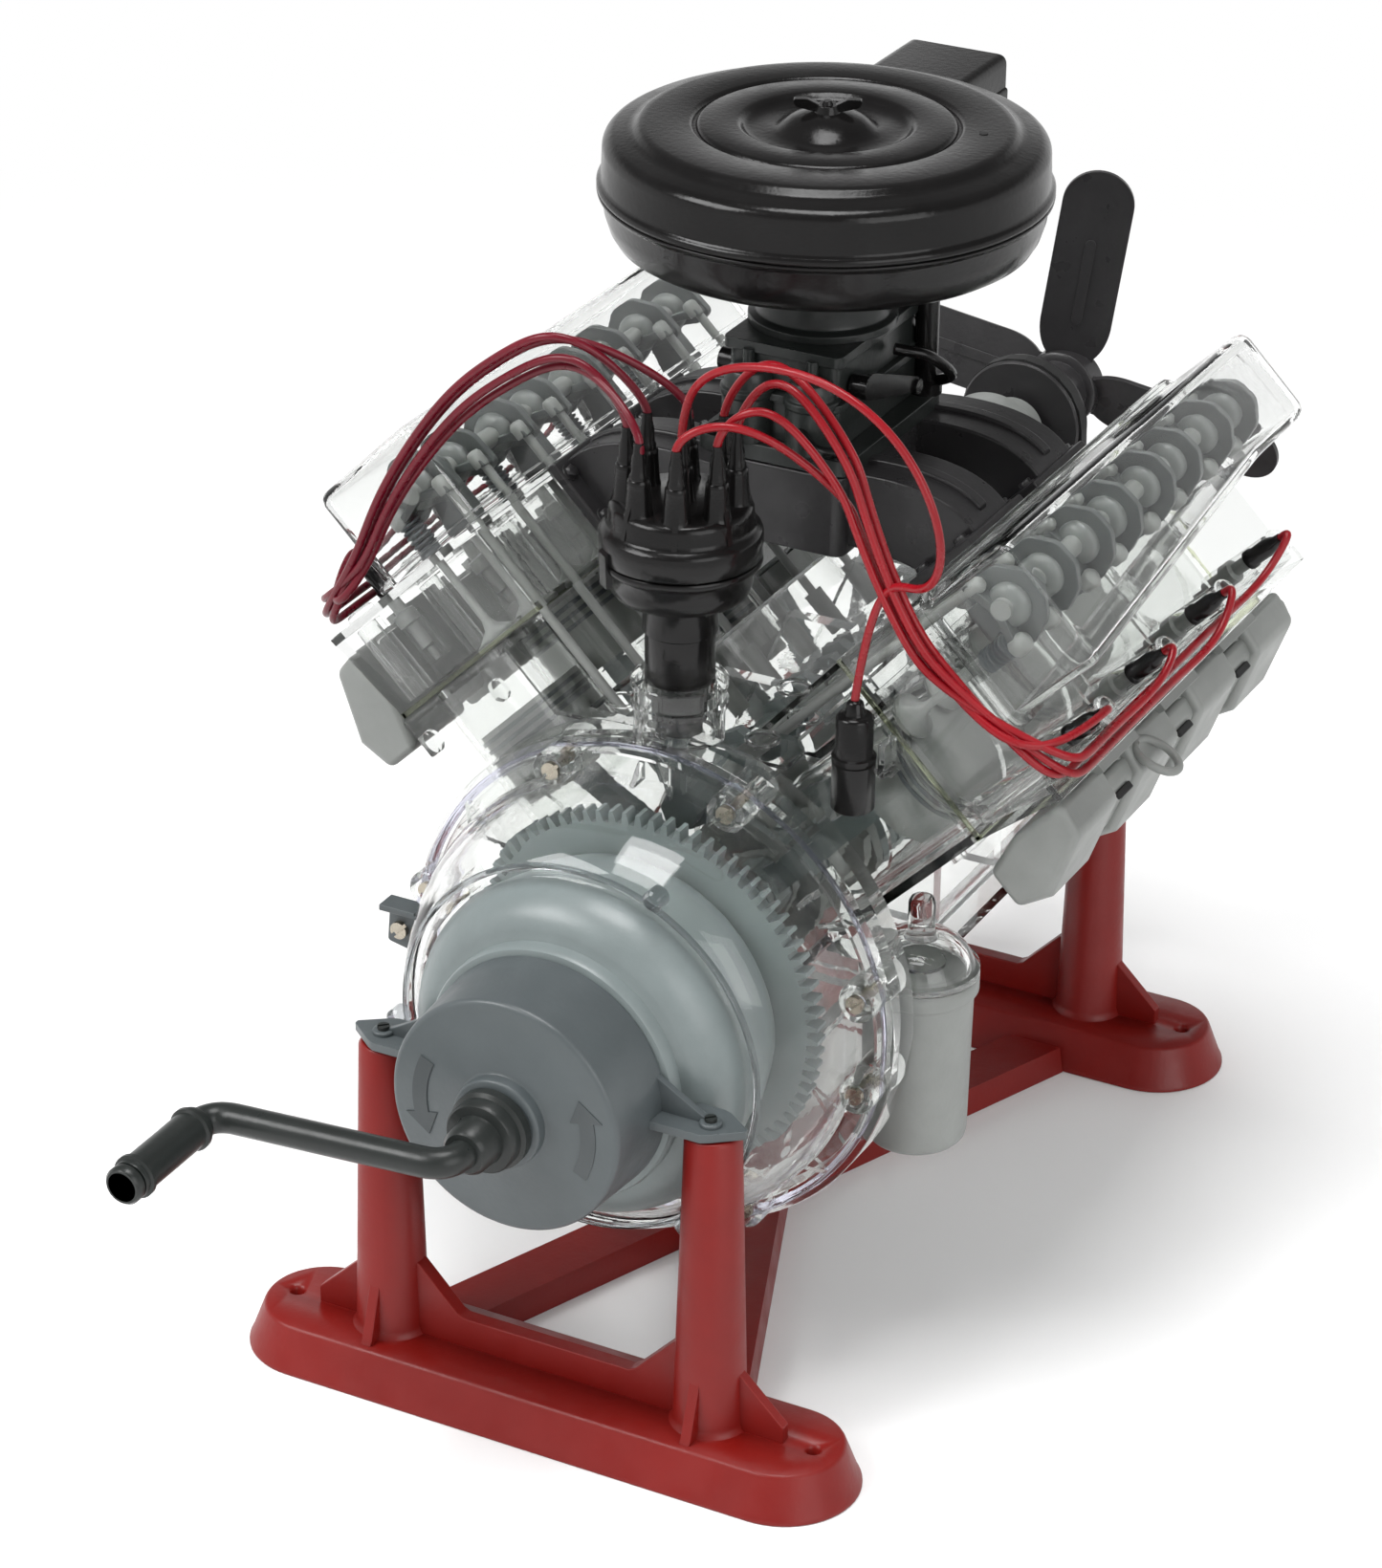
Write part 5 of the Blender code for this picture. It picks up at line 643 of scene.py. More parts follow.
def air_cleaner():
    built = bmesh.new()
    turned(built, [(0, 215), (38.5, 215), (40.8, 215.3), (42.6, 216.4), (43.8, 218.4), (44.8, 221.6),
        (45.2, 224.6), (45.5, 225.4), (46.2, 225.7), (46.3, 226.2), (46.1, 226.4), (0, 226.4)],
        (0, CARB_Y, 0), sides=192)
    piece("cleaner_pan", built, "black", stands_for=["air_cleaner_base"], angle=60)
    built = bmesh.new()
    profile = [(0, 226.6), (46.1, 226.6), (46.3, 226.8), (46.3, 227.6), (45.9, 228.1), (45.5, 228.4),
        (45.4, 229), (45.2, 234.6)]
    for step in range(1, 9):
        turn = radians(9.5 * step)
        profile.append((42.2 + 3.0 * cos(turn), 234.6 + 3.0 * sin(turn)))
    profile += [(40.4, 237.9), (39.5, 238.1), (38.8, 238.5), (38.2, 239.2), (37.5, 239.6), (36.4, 239.7),
        (27.9, 239.9), (27.3, 239.7), (26.9, 239), (26.4, 239), (26, 239.7), (25.4, 239.9), (18.4, 240),
        (17.6, 239.8), (17, 239), (16.2, 238.4), (14.8, 238.2), (11.2, 238.3), (10, 238.7), (8.8, 239.8),
        (7, 241), (4.6, 241.8), (2.2, 242.2), (0, 242.3)]
    turned(built, profile, (0, CARB_Y, 0), sides=192)
    piece("cleaner_lid", built, "black", stands_for=["air_cleaner_lid"], angle=60)
    built = bmesh.new()
    mouth = rounded([(-11.5, 226.8), (11.5, 226.8), (11.5, 237.4), (-11.5, 237.4)], 2.2)
    slab_y(built, mouth, CARB_Y + 36, 178)
    lip = rounded([(-12, 226.6), (12, 226.6), (12, 230.4), (-12, 230.4)], 0.8)
    slab_y(built, lip, CARB_Y + 38, 178)
    piece("cleaner_snorkel", built, "black", bevel=0.4, segments=3)
    built = bmesh.new()
    rod(built, (0, CARB_Y, 241.8), (0, CARB_Y, 243.6), 2.8, 2.2)
    rod(built, (0, CARB_Y, 243.4), (0, CARB_Y, 244.4), 1.2, 0.9)
    turn = Matrix.Rotation(radians(25), 4, "Z")
    for way in (1, -1):
        wing = rounded([(1.2 * way, 242), (3.6 * way, 242.4), (6.6 * way, 243.2), (7.0 * way, 244.8),
            (4.2 * way, 244.9), (1.2 * way, 243.4)][::way], 0.7)
        start = [turn @ Vector((x, -0.8, z)) + Vector((0, CARB_Y, 0)) for x, z in wing]
        prism(built, start, turn @ Vector((0, 1.6, 0)))
    piece("cleaner_wing_nut", built, "black", bevel=0.3, segments=3)
    built = bmesh.new()
    rod(built, (30.2, CARB_Y + 9.2, 239.5), (30.2, CARB_Y + 9.2, 239.95), 0.9, sides=24)
    piece("cleaner_pin", built, "rubber")


# Distributor and leads

DISTRIBUTOR_Y = 54.5
HEAD_TOP = 95.5
TOWERS = arc((0, DISTRIBUTOR_Y), 10.8, 22.5, 22.5 + 315, 7)


def distributor():
    centre = (0, DISTRIBUTOR_Y, 0)
    built = bmesh.new()
    turned(built, [(0, 170.1), (16, 170.1), (16.3, 170.4), (16.3, 174.8), (16, 175.6), (15.2, 176.1),
        (14.7, 176.6), (14.5, 177.4), (14.4, 179.8), (14, 180.7), (13.2, 181.2), (0, 181.4)],
        centre, sides=128)
    for x, y in TOWERS + [(0, DISTRIBUTOR_Y)]:
        turned(built, [(0, 180.8), (3.1, 180.8), (2.7, 181.8), (2.3, 187.6), (2.3, 188.2), (2, 188.6),
            (0, 188.6)], (x, y, 0), sides=40)
        if (x, y) != (0, DISTRIBUTOR_Y):
            out = (Vector((x, y)) - Vector((0, DISTRIBUTOR_Y))).normalized()
            side = out.orthogonal() * 0.55
            foot_at, tip = Vector((x, y)) + out * 1.6, Vector((0, DISTRIBUTOR_Y)) + out * 14.9
            prism(built, [(*(foot_at - side), 176.5), (*(tip - side), 176.5),
                (*(tip - side * 0.8 - out * 0.9), 181.4), (*(foot_at - side * 0.8 - out * 0.2), 186.2)],
                (*(side * 2), 0))
    piece("distributor_crown", built, "black", stands_for=["distributor_cap"], angle=50)
    built = bmesh.new()
    turned(built, [(0, 161.2), (11.4, 161.2), (13.2, 161.7), (14.1, 162.8), (14.4, 164.4), (14.5, 167.2),
        (15.2, 167.9), (16, 168.3), (16.3, 168.8), (16.3, 169.5), (16.1, 169.8), (0, 169.8)],
        centre, sides=128)
    turned(built, [(0, 130.2), (4.7, 130.2), (4.7, 133.6), (5.6, 134), (5.6, 138.8), (6.6, 139.2),
        (7.1, 139.8), (7.1, 153), (7.6, 153.4), (7.6, 159.8), (8.4, 161.3), (0, 161.4)], centre, sides=64)
    for degrees in (-128, 52):
        x, y = point_at((0, DISTRIBUTOR_Y), 15.4, degrees)
        u, v = point_at((0, 0), 1, degrees)
        out, side = Vector((u, v, 0)), Vector((-v, u, 0)) * 1.6
        low, up = Vector((x, y, 165.4)) - side, Vector((0, 0, 1))
        prism(built, [low, low + out * 1.3, low + out * 1.6 + up * 7, low + up * 8.4], side * 2)
    piece("distributor_shell", built, "black", stands_for=["distributor_body"], angle=50)


BUNDLES = {1: ((-54, 2.2, 6.8), (-48, 2, 5.4), (-36.4, 1.8, 1.7), (-24.1, 1.8, -1), (-13, 1.5, -1)),
    -1: ((-76.4, -4, 12.5), (-60, -4.5, 17), (-43, -4.7, 18.5), (-17.8, -4.8, 14), (-4, -5, 8))}
LEAD_LIFTS = {1: (0, 4, 9, 11), -1: (0, 2.5, 5, 3.5)}
LIFT_SHARES = {1: (0.75, 0.5, 0.2, 0, 0), -1: (1, 0.95, 0.8, 0.4, 0.1)}
ARCH_AT = (0.42, 3.5)            # share of the way to the bundle, and height over the first rise
BUNDLE_SHIFTS = ((1.2, -1.2), (-1.2, -1.2), (-1.2, 1.2), (1.2, 1.2))        # each lead's place in a bundle
LEDGE_LANES = (None, (15, 7.5), (17.2, 4.9), (15.4, 2.7))        # across, and rise over the head
COIL_ROUTE = ((-90, -2.5, 1.5), (-77, -5, 22.5), (-55.5, -6, 30.5), (-34.5, -6, 23.5), (-29, -3, 10.5))
TOWER_TIP = 191
TOWER_BOOT = [(0, 188.6), (1.9, 188.6), (1.9, 189.4), (1.6, 190), (1.5, 192.6), (1.15, 194.4)]
COIL_TOP = Vector((38.5, 55.3, 143.8))
LEAD_RADIUS = 0.85
PLUG_ACROSS = 11


def lead_route(side, number):
    x, y = TOWERS[number - 2 if side > 0 else 5 - number]
    route = [Vector((x, y, TOWER_TIP)), Vector((x, y, TOWER_TIP + 8))]
    shift_y, shift_along = BUNDLE_SHIFTS[number]
    if side > 0:
        across, aside, rise = BUNDLES[side][0]
        into = bank(side, across, DISTRIBUTOR_Y + aside + shift_y, HEAD_TOP + rise)
        top = route[-1].lerp(into, ARCH_AT[0])
        top.z = TOWER_TIP + 8 + ARCH_AT[1] + LEAD_LIFTS[side][number]
        route.append(top)
    for (across, y, rise), share in zip(BUNDLES[side], LIFT_SHARES[side]):
        lift = Vector((0, 0, LEAD_LIFTS[side][number] * share))
        route.append(bank(side, across, DISTRIBUTOR_Y + y + shift_y, HEAD_TOP + rise + shift_along) + lift)
    last = cylinder_y(side, number)
    corner = FRONT[side] - 2.2
    if LEDGE_LANES[number] is None:
        route.append(bank(side, 8.5, corner - 4, HEAD_TOP + 4))
    else:
        across, rise = LEDGE_LANES[number]
        along = HEAD_TOP + rise
        route.append(bank(side, across - 2.2, corner - shift_y, along))
        route += [bank(side, across, cylinder_y(side, i) - turn * PITCH / 4, along)
            for i in range(number) for turn in (1, -1)]
        route.append(bank(side, across, last - PITCH / 4, along + 2.2))
    return route + [bank(side, PLUG_ACROSS, last, HEAD_TOP + rise) for rise in (13.1, 8.3)]


def leads():
    for label, side in SIDES:
        built, boots = bmesh.new(), bmesh.new()
        for number in range(4):
            route = lead_route(side, number)
            tube(built, relaxed(smooth(route, 14)), LEAD_RADIUS, 14)
            x, y, _ = route[0]
            turned(boots, TOWER_BOOT + [(1.05, 196.2), (0, 196.2)], (x, y, 0), sides=32)
            turned(boots, [(0, 95.8), (2.2, 95.8), (2.2, 97.2), (1.9, 97.5), (2, 101.4), (1.6, 103),
                (1.2, 103.8), (1.1, 105.2), (0, 105.2)], bank(side, PLUG_ACROSS, cylinder_y(side, number), 0),
                heading(side, 0, 1), 32)
        if side > 0:
            start = Vector((0, DISTRIBUTOR_Y, TOWER_TIP))
            held = bank(1, -36.4, DISTRIBUTOR_Y + 1.8, HEAD_TOP + 1.7)
            over = [bank(1, across, DISTRIBUTOR_Y + y, HEAD_TOP + rise) for across, y, rise in COIL_ROUTE]
            rise = Vector((0, 0, 4))
            route = smooth([start, start + rise] + over + [held, COIL_TOP + rise, COIL_TOP], 14)
            tube(built, relaxed(route), LEAD_RADIUS, 14)
            turned(boots, TOWER_BOOT + [(0, 194.4)], (0, DISTRIBUTOR_Y, 0), sides=32)
        # The left leads take the darkened red, which paints their shade
        piece(f"leads_{label}", built, "lead_red" if side > 0 else "lead_red_painted_shade",
            stands_for=[f"plug_leads_{label}"], angle=80)
        piece(f"boots_{label}", boots, "black", angle=50)


def coil():
    centre = (COIL_TOP.x, COIL_TOP.y, 0)
    built = bmesh.new()
    turned(built, [(0, 122.5), (4.1, 122.5), (4.4, 122.8), (4.4, 132.6), (4.1, 132.8), (4.1, 133.2),
        (4.5, 133.4), (4.5, 134.2), (3.9, 134.4), (3.8, 134.8), (3.8, 142.4), (3.4, 143), (2.2, 143.2),
        (2, 143.6), (1.7, 145.6), (1.1, 146.2), (0, 146.2)], centre, sides=64)
    piece("coil_case", built, "black", stands_for=["ignition_coil"], angle=50)
    built = bmesh.new()
    box(built, (39.5, 55, 131), (47, 59.5, 132.6))
    box(built, (44.2, 54, 131), (45.8, 59.5, 138.2))
    piece("coil_bracket", built, "clear", bevel=0.25)


# Valve covers and valve gear

def valve_cover(label, side):
    start, end = FRONT[side] + 4, FRONT[side] + 128
    far = [(-6.2, 163.2), (-6.2, end)] if side > 0 else [(2, end)]
    outline = [(-28.5, start), (2, start)] + far + [(-28.5, end)]
    built = bmesh.new()
    layers = [(2.6, 118.3), (1.9, 117.9), (1.5, 117), (1.4, 95.9), (-1.7, 95.9), (-1.8, 96.1), (-1.8, 97),
        (-1.5, 97.3), (-0.4, 97.4), (0, 97.9), (0, 117.4), (0.5, 118.9), (1.3, 119.6), (2.4, 119.8)]
    add_layers(built, outline, layers, 3.4)
    piece(f"cover_shell_{label}", built, "clear", bank=side, stands_for=[f"valve_cover_{label}"], angle=60)


def valve_gear(label, side):
    plates, domes, studs, rods, springs = (bmesh.new() for _ in range(5))
    first, last = cylinder_y(side, 0) - 9.7, cylinder_y(side, 3) + 9.7
    rod(rods, (-17.5, first, 108), (-17.5, last, 108), 2.2)
    for number in range(4):
        middle = cylinder_y(side, number)
        stand = rounded([(-21, 95.9), (-12.8, 95.9), (-14.4, 103), (-14.2, 109.4), (-20.8, 109.4)], 1)
        slab_y(plates, stand, middle - 2.2, middle + 2.2)
        turned(domes, [(0, -2.9), (3, -2.9), (3.6, -2.2), (3.6, 2.2), (3, 2.9), (0, 2.9)],
            (-17.5, middle, 108.4), (0, 1, 0), 48)
        for turn in (-1, 1):
            y = middle + turn * 7
            plate = rounded([(-26, 102.6), (-22.4, 101.6), (-17.6, 103.8), (-12.6, 101.6), (-8.2, 103),
                (-8.2, 106.8), (-10.4, 112.8), (-15.2, 116.2), (-20.8, 115.6), (-25.4, 110.4)], 1.5, 6)
            slab_y(plates, plate, y + 1, y + 2.7)
            turned(domes, [(4.7, 0), (4.7, 0.7), (4.4, 1.4), (3.7, 2), (2.6, 2.4), (1.3, 2.6), (0, 2.7)],
                (-17.2, y + 1.2, 108.2), (0, -1, 0), 48)
            web = rounded([(-25.4, 103.2), (-17.4, 105.6), (-9, 103.4),
                (-9, 105.2), (-17.4, 107.6), (-25.4, 105.2)], 0.8)
            slab_y(plates, web, y - 2.2, y + 2.2)
            turned(studs, [(0, 103.6), (1.8, 103.6), (2.2, 104.2), (2.2, 106.6), (1.6, 107.5), (0, 107.8)],
                (-9.8, y - 0.8, 0), sides=32)
            turned(studs, [(0, 103.6), (1.5, 103.6), (1.7, 104.2), (1.7, 106.6), (1.2, 107.4), (0, 107.6)],
                (-24, y - 0.8, 0), sides=32)
            rod(rods, (-24.04, y, 35.4), (-24.04, y, 105), 1, sides=16)
            rod(rods, (-24.04, y, 30.44), (-24.04, y, 40.44), 2.1, sides=24)
            coil_profile = [(1.2, 95.9)]
            for k in range(7):
                coil_profile += [(2, 95.9 + 1.16 * k), (2.6, 96.3 + 1.16 * k), (2.6, 96.7 + 1.16 * k)]
            turned(springs, coil_profile + [(1.2, 104)], (-10.8, y, 0), sides=32)
    piece(f"rocker_plates_{label}", plates, "rocker_grey", bank=side,
        stands_for=[f"rocker_gear_{label}"], bevel=0.25)
    piece(f"rocker_domes_{label}", domes, "soft_grey", bank=side, angle=50)
    piece(f"valve_tips_{label}", studs, "light_grey", bank=side, angle=50)
    piece(f"pushrods_{label}", rods, "light_grey", bank=side, angle=50)
    piece(f"valve_springs_{label}", springs, "dark_grey", bank=side, angle=30)


air_cleaner()
distributor()
leads()
coil()
for label, side in SIDES:
    valve_cover(label, side)
    valve_gear(label, side)


# Intake and carburettor

def oblong(half_x, half_y, radius):
    """A rectangle with round corners, round the carburettor's middle."""
    return rounded([(-half_x, CARB_Y - half_y), (half_x, CARB_Y - half_y), (half_x, CARB_Y + half_y),
        (-half_x, CARB_Y + half_y)], radius)


def bolt(built, centre, axis, radius, height=1.3):
    """A six-sided bolt head on a washer."""
    turned(built, [(0, 0), (radius * 1.35, 0), (radius * 1.3, height * 0.3), (0, height * 0.3)],
        centre, axis, 24)
    turned(built, [(0, 0), (radius, 0), (radius, height * 0.85), (radius * 0.85, height), (0, height)],
        centre, axis, 6)


def intake():
    built = bmesh.new()
    slab_z(built, oblong(16.5, 23, 3), 156.2, 173.7)
    for _, side in SIDES:
        for turn in (-1, 1):
            y = CARB_Y + turn * PITCH / 2 + side * 4
            arch = curve((45.1, 166.4), (37, 177.7), (8.3, 173.3), 24)
            belly = curve((8.3, 157.4), (24.8, 159.1), (33.7, 155.1), 16)
            slab_y(built, [(side * x, z) for x, z in arch + belly], y - 8, y + 8)
            ridge = [p + Vector((0, 0.9)) for p in arch[3:]] + [p - Vector((0, 1)) for p in arch[:2:-1]]
            slab_y(built, [(side * x, z) for x, z in ridge], y - 1.6, y + 1.6)
            pad = [(-31.7, 77), (-29.3, 77), (-29.3, 95.5), (-31.7, 95.5)]
            prism(built, [bank(side, a, y - 12.5, b) for a, b in pad], (0, 25, 0))
    # The intake uses the black that is lightened to paint in its sheen
    piece("intake_ducts", built, "painted_sheen_black", stands_for=["intake_manifold"],
        angle=40, bevel=1.3, segments=4)
    built = bmesh.new()
    for _, side in SIDES:
        for turn in (-1, 1):
            for shift in (-10, 10):
                y = CARB_Y + turn * PITCH / 2 + side * 4 + shift
                for along in (80.5, 92):
                    bolt(built, bank(side, -31.6, y, along), heading(side, -1, 0), 1.5)
        for y in (CARB_Y - 20.5, CARB_Y + 20.5):
            bolt(built, (side * 15, y, 177.5), (0, 0, 1), 1.5)
    tube(built, smooth([(6, CARB_Y + 22, 165), (7, CARB_Y + 31, 166), (8, CARB_Y + 37, 160)]), 4.6, 32)
    turned(built, [(0, 0), (5.6, 0), (5.6, 2.6), (0, 2.6)], (6, CARB_Y + 22.5, 165), (0, 1, 0.1), 32)
    piece("intake_fittings", built, "painted_sheen_black", angle=50)


def carburettor():
    built = bmesh.new()
    layers = ((174, 177.6, 17.5, 23, 4), (177.6, 186.4, 13, 19, 2), (186.4, 188, 13.8, 20, 2),
        (188, 195.6, 12.4, 18, 2), (195.6, 198, 13.4, 19, 2))
    for low, high, half_x, half_y, radius in layers:
        slab_z(built, oblong(half_x, half_y, radius), low, high)
    for x in (-7.2, 7.2):
        for y in (CARB_Y - 19, CARB_Y + 19):
            turned(built, [(0, 177.5), (5.4, 177.5), (5.4, 187), (5.8, 187.3), (5.8, 188.6), (5, 189),
                (5, 191), (4.2, 192.4), (2, 193.2), (0, 193.3)], (x, y, 0), sides=40)
            turned(built, [(0, 193), (1.2, 193), (1.2, 196.5), (0, 196.5)], (x, y, 0), sides=20)
    turned(built, [(0, 197.9), (15.4, 197.9), (15.4, 199.6), (13.8, 200.2), (13.5, 201), (13.5, 211),
        (14.6, 212.6), (14.6, 214.7), (0, 214.7)], (0, CARB_Y, 0))
    piece("carburettor_case", built, "crank_grey", stands_for=["carburettor"], angle=45, bevel=0.35)
    built = bmesh.new()
    for side in (-1, 1):
        rod(built, (side * 13, CARB_Y - 12, 190), (side * 16.8, CARB_Y - 12, 190), 2.4, sides=32)
        rod(built, (side * 13, CARB_Y + 11, 182), (side * 17.2, CARB_Y + 11, 182), 1.6, sides=24)
        lever = rounded([(CARB_Y - 14, 188), (CARB_Y - 10, 186.5), (CARB_Y + 12.6, 180.4),
            (CARB_Y + 12.6, 183.6), (CARB_Y - 10, 192.4), (CARB_Y - 14, 192)], 1.2)
        prism(built, [(side * 15.4, y, z) for y, z in lever], (side * 1.1, 0, 0))
        tube(built, smooth([(side * 7.2, CARB_Y - 24, 183), (side * 12, CARB_Y - 26.5, 181),
            (side * 15.6, CARB_Y - 22, 179)]), 1.1, 16)
    for x, y, radius, top in ((14.6, CARB_Y + 19.4, 2.5, 206), (7.2, CARB_Y + 25.2, 3.2, 210)):
        turned(built, [(0, 177.4), (radius + 1, 177.4), (radius + 1, 180), (radius, 180.6), (radius, top - 2),
            (radius + 0.8, top - 1.4), (radius + 0.8, top), (0, top)], (x, y, 0), sides=40)
    rod(built, (7.2, CARB_Y + 25.2, 176), (7.2, CARB_Y + 20, 176), 2.4, sides=24)
    tube(built, smooth([(14, CARB_Y + 5, 192), (20, CARB_Y + 9, 190), (22, CARB_Y + 16, 184),
        (17, CARB_Y + 20, 180)]), 1.2, 16)
    piece("carburettor_links", built, "black", angle=45)


# Heads, exhaust and block details, each over its CAD form

def head_details(label, side):
    start, end = FRONT[side] + 1, FRONT[side] + 129
    clear, edges, metals = bmesh.new(), bmesh.new(), bmesh.new()
    for k in range(5):
        y = min(max(FRONT[side] + PITCH * k, start + 5.4), end - 5.4)
        turned(clear, [(1.7, 75.4), (3.2, 75.4), (3, 93.4), (1.7, 93.4)], (12.6, y, 0), sides=32)
        turned(clear, [(0, 95.6), (3.3, 95.6), (3.3, 96.4), (2.7, 97), (0, 97)], (12.6, y, 0), sides=32)
    for number in range(4):
        y = cylinder_y(side, number)
        window = [(y - 9.6, 78.6), (y + 9.6, 78.6), (y + 9.6, 90.6), (y - 9.6, 90.6)]
        outer, inner = rounded(window, 2.4, 4), rounded(inset(window, 1.1), 1.8, 4)
        lines = ((14.2, outer), (15.2, outer), (15.2, inner), (14.2, inner))
        rings = [add_loop(clear, [(x, py, pz) for py, pz in line]) for x, line in lines]
        for low, high in zip(rings, rings[1:] + rings[:1]):
            add_band(clear, low, high)
        if number < 3:
            box(clear, (-26.8, y + 14.9, 75.3), (14, y + 16.1, 93.5))
        turned(metals, [(0, 79), (0.8, 79), (0.8, 82), (1.7, 82.4), (1.7, 88), (2.6, 88.3), (2.6, 91),
            (1.5, 91.4), (1.5, 95.8), (0, 95.8)], (11, y, 0), sides=24)
        for turn in (-1, 1):
            turned(metals, [(0, 73.8), (4.9, 73.8), (5, 74.6), (1.6, 77), (0.9, 79), (0.9, 96), (0, 96)],
                (-10.8, y + turn * 7, 0), sides=32)
    for low, high in ((15.4, 19.15), (-29.15, -27.4)):
        box(clear, (low, start, 93.9), (high, end, 95.65))
    box(edges, (15.6, start - 0.15, 73.3), (16.45, end + 0.15, 74.5))
    for y in (start - 0.15, end - 0.45):
        box(edges, (-28.9, y, 73.3), (16.2, y + 0.6, 74.3))
    piece(f"head_bosses_{label}", clear, "clear", bank=side, angle=40, bevel=0.2)
    piece(f"head_edges_{label}", edges, "clear_edge", bank=side)
    piece(f"plugs_and_valves_{label}", metals, "light_grey", bank=side, angle=40)


LOG = ((22.34, 88.93), (26.9, 87.91), (32.068, 75.67), (30.548, 69.04), (23.86, 68.53), (21.428, 76.69))
BULGE = ((20.06, 90.97), (27.66, 89.95), (34.5, 75.16), (32.372, 67), (23.252, 67), (20.06, 77.2))


def exhaust(label, side):
    built, ports, slots = bmesh.new(), bmesh.new(), bmesh.new()
    slab_y(built, LOG, FRONT[side] + 6, FRONT[side] + 124)
    for number in range(4):
        y = cylinder_y(side, number)
        slab_y(built, BULGE, y - 10.1, y + 10.1)
    piece(f"exhaust_log_{label}", built, "light_grey", bank=side, stands_for=[f"exhaust_manifold_{label}"],
        angle=40, bevel=1.6, segments=4)
    for number in range(1, 4):
        y = FRONT[side] + PITCH * number
        box(ports, (19.3, y - 9, 75.5), (21.5, y + 9, 92.5))
        box(slots, (26.9, y - 3, 86.9), (28.5, y + 3, 88.1))
        for turn in (-1, 1):
            bolt(ports, (21.4, y + turn * 5, 87), (1, 0, 0), 1.4)
    piece(f"exhaust_ports_{label}", ports, "light_grey", bank=side, angle=40, bevel=0.3)
    piece(f"exhaust_slots_{label}", slots, "rubber", bank=side, bevel=0.3)
    if side > 0:
        built = bmesh.new()
        loop = [(26.8 + 4.8 * cos(t), 102 + 4.2 * sin(t), 92.0 + 1.8 * cos(t)) for t in turns(32)]
        tube(built, loop + loop[:2], 0.9, 16)
        rod(built, (23.4, 101, 90.6), (21, 99, 87), 1.3)
        piece("exhaust_loop", built, "light_grey", bank=side, angle=60)


def case_outline(amount):
    """The crankcase and the two banks seen along the crankshaft, cut back by an amount."""
    outer, inner, deck = 16.3 - amount, 17.0 - amount, 73.0 - amount
    floor = -16 - (1 if amount else 0)
    side, valley = 30 - amount, 51.5 - amount
    right = [(side, floor), (side, side - outer / LEAN), (LEAN * (deck + outer), LEAN * (deck - outer)),
        (LEAN * (deck - inner), LEAN * (deck + inner)), (valley - inner / LEAN, valley)]
    return [(x, CRANK_Z + z) for x, z in right + [(-x, z) for x, z in reversed(right)]]


def bank_box(built, side, across, y, along):
    corners = ((across[0], along[0]), (across[1], along[0]), (across[1], along[1]), (across[0], along[1]))
    prism(built, [bank(side, a, y[0], b) for a, b in corners], (0, y[1] - y[0], 0))


WALL = 1.8
BORE, LINER, CRANK_HOLE, CAM_HOLE = 12.9, 14.2, 5.4, 3.4         # radii
LINER_FOOT = 38.0
CASE_START, CASE_END = 52, 186


def bank_ends(amount):
    """The room before the right bank and behind the left one, more by an amount."""
    built = bmesh.new()
    bank_box(built, 1, (-18, 17.3), (51, 60 + amount), (30 - amount, 74))
    bank_box(built, -1, (-18, 17.3), (178 - amount, 187), (30 - amount, 74))
    return loose(built)


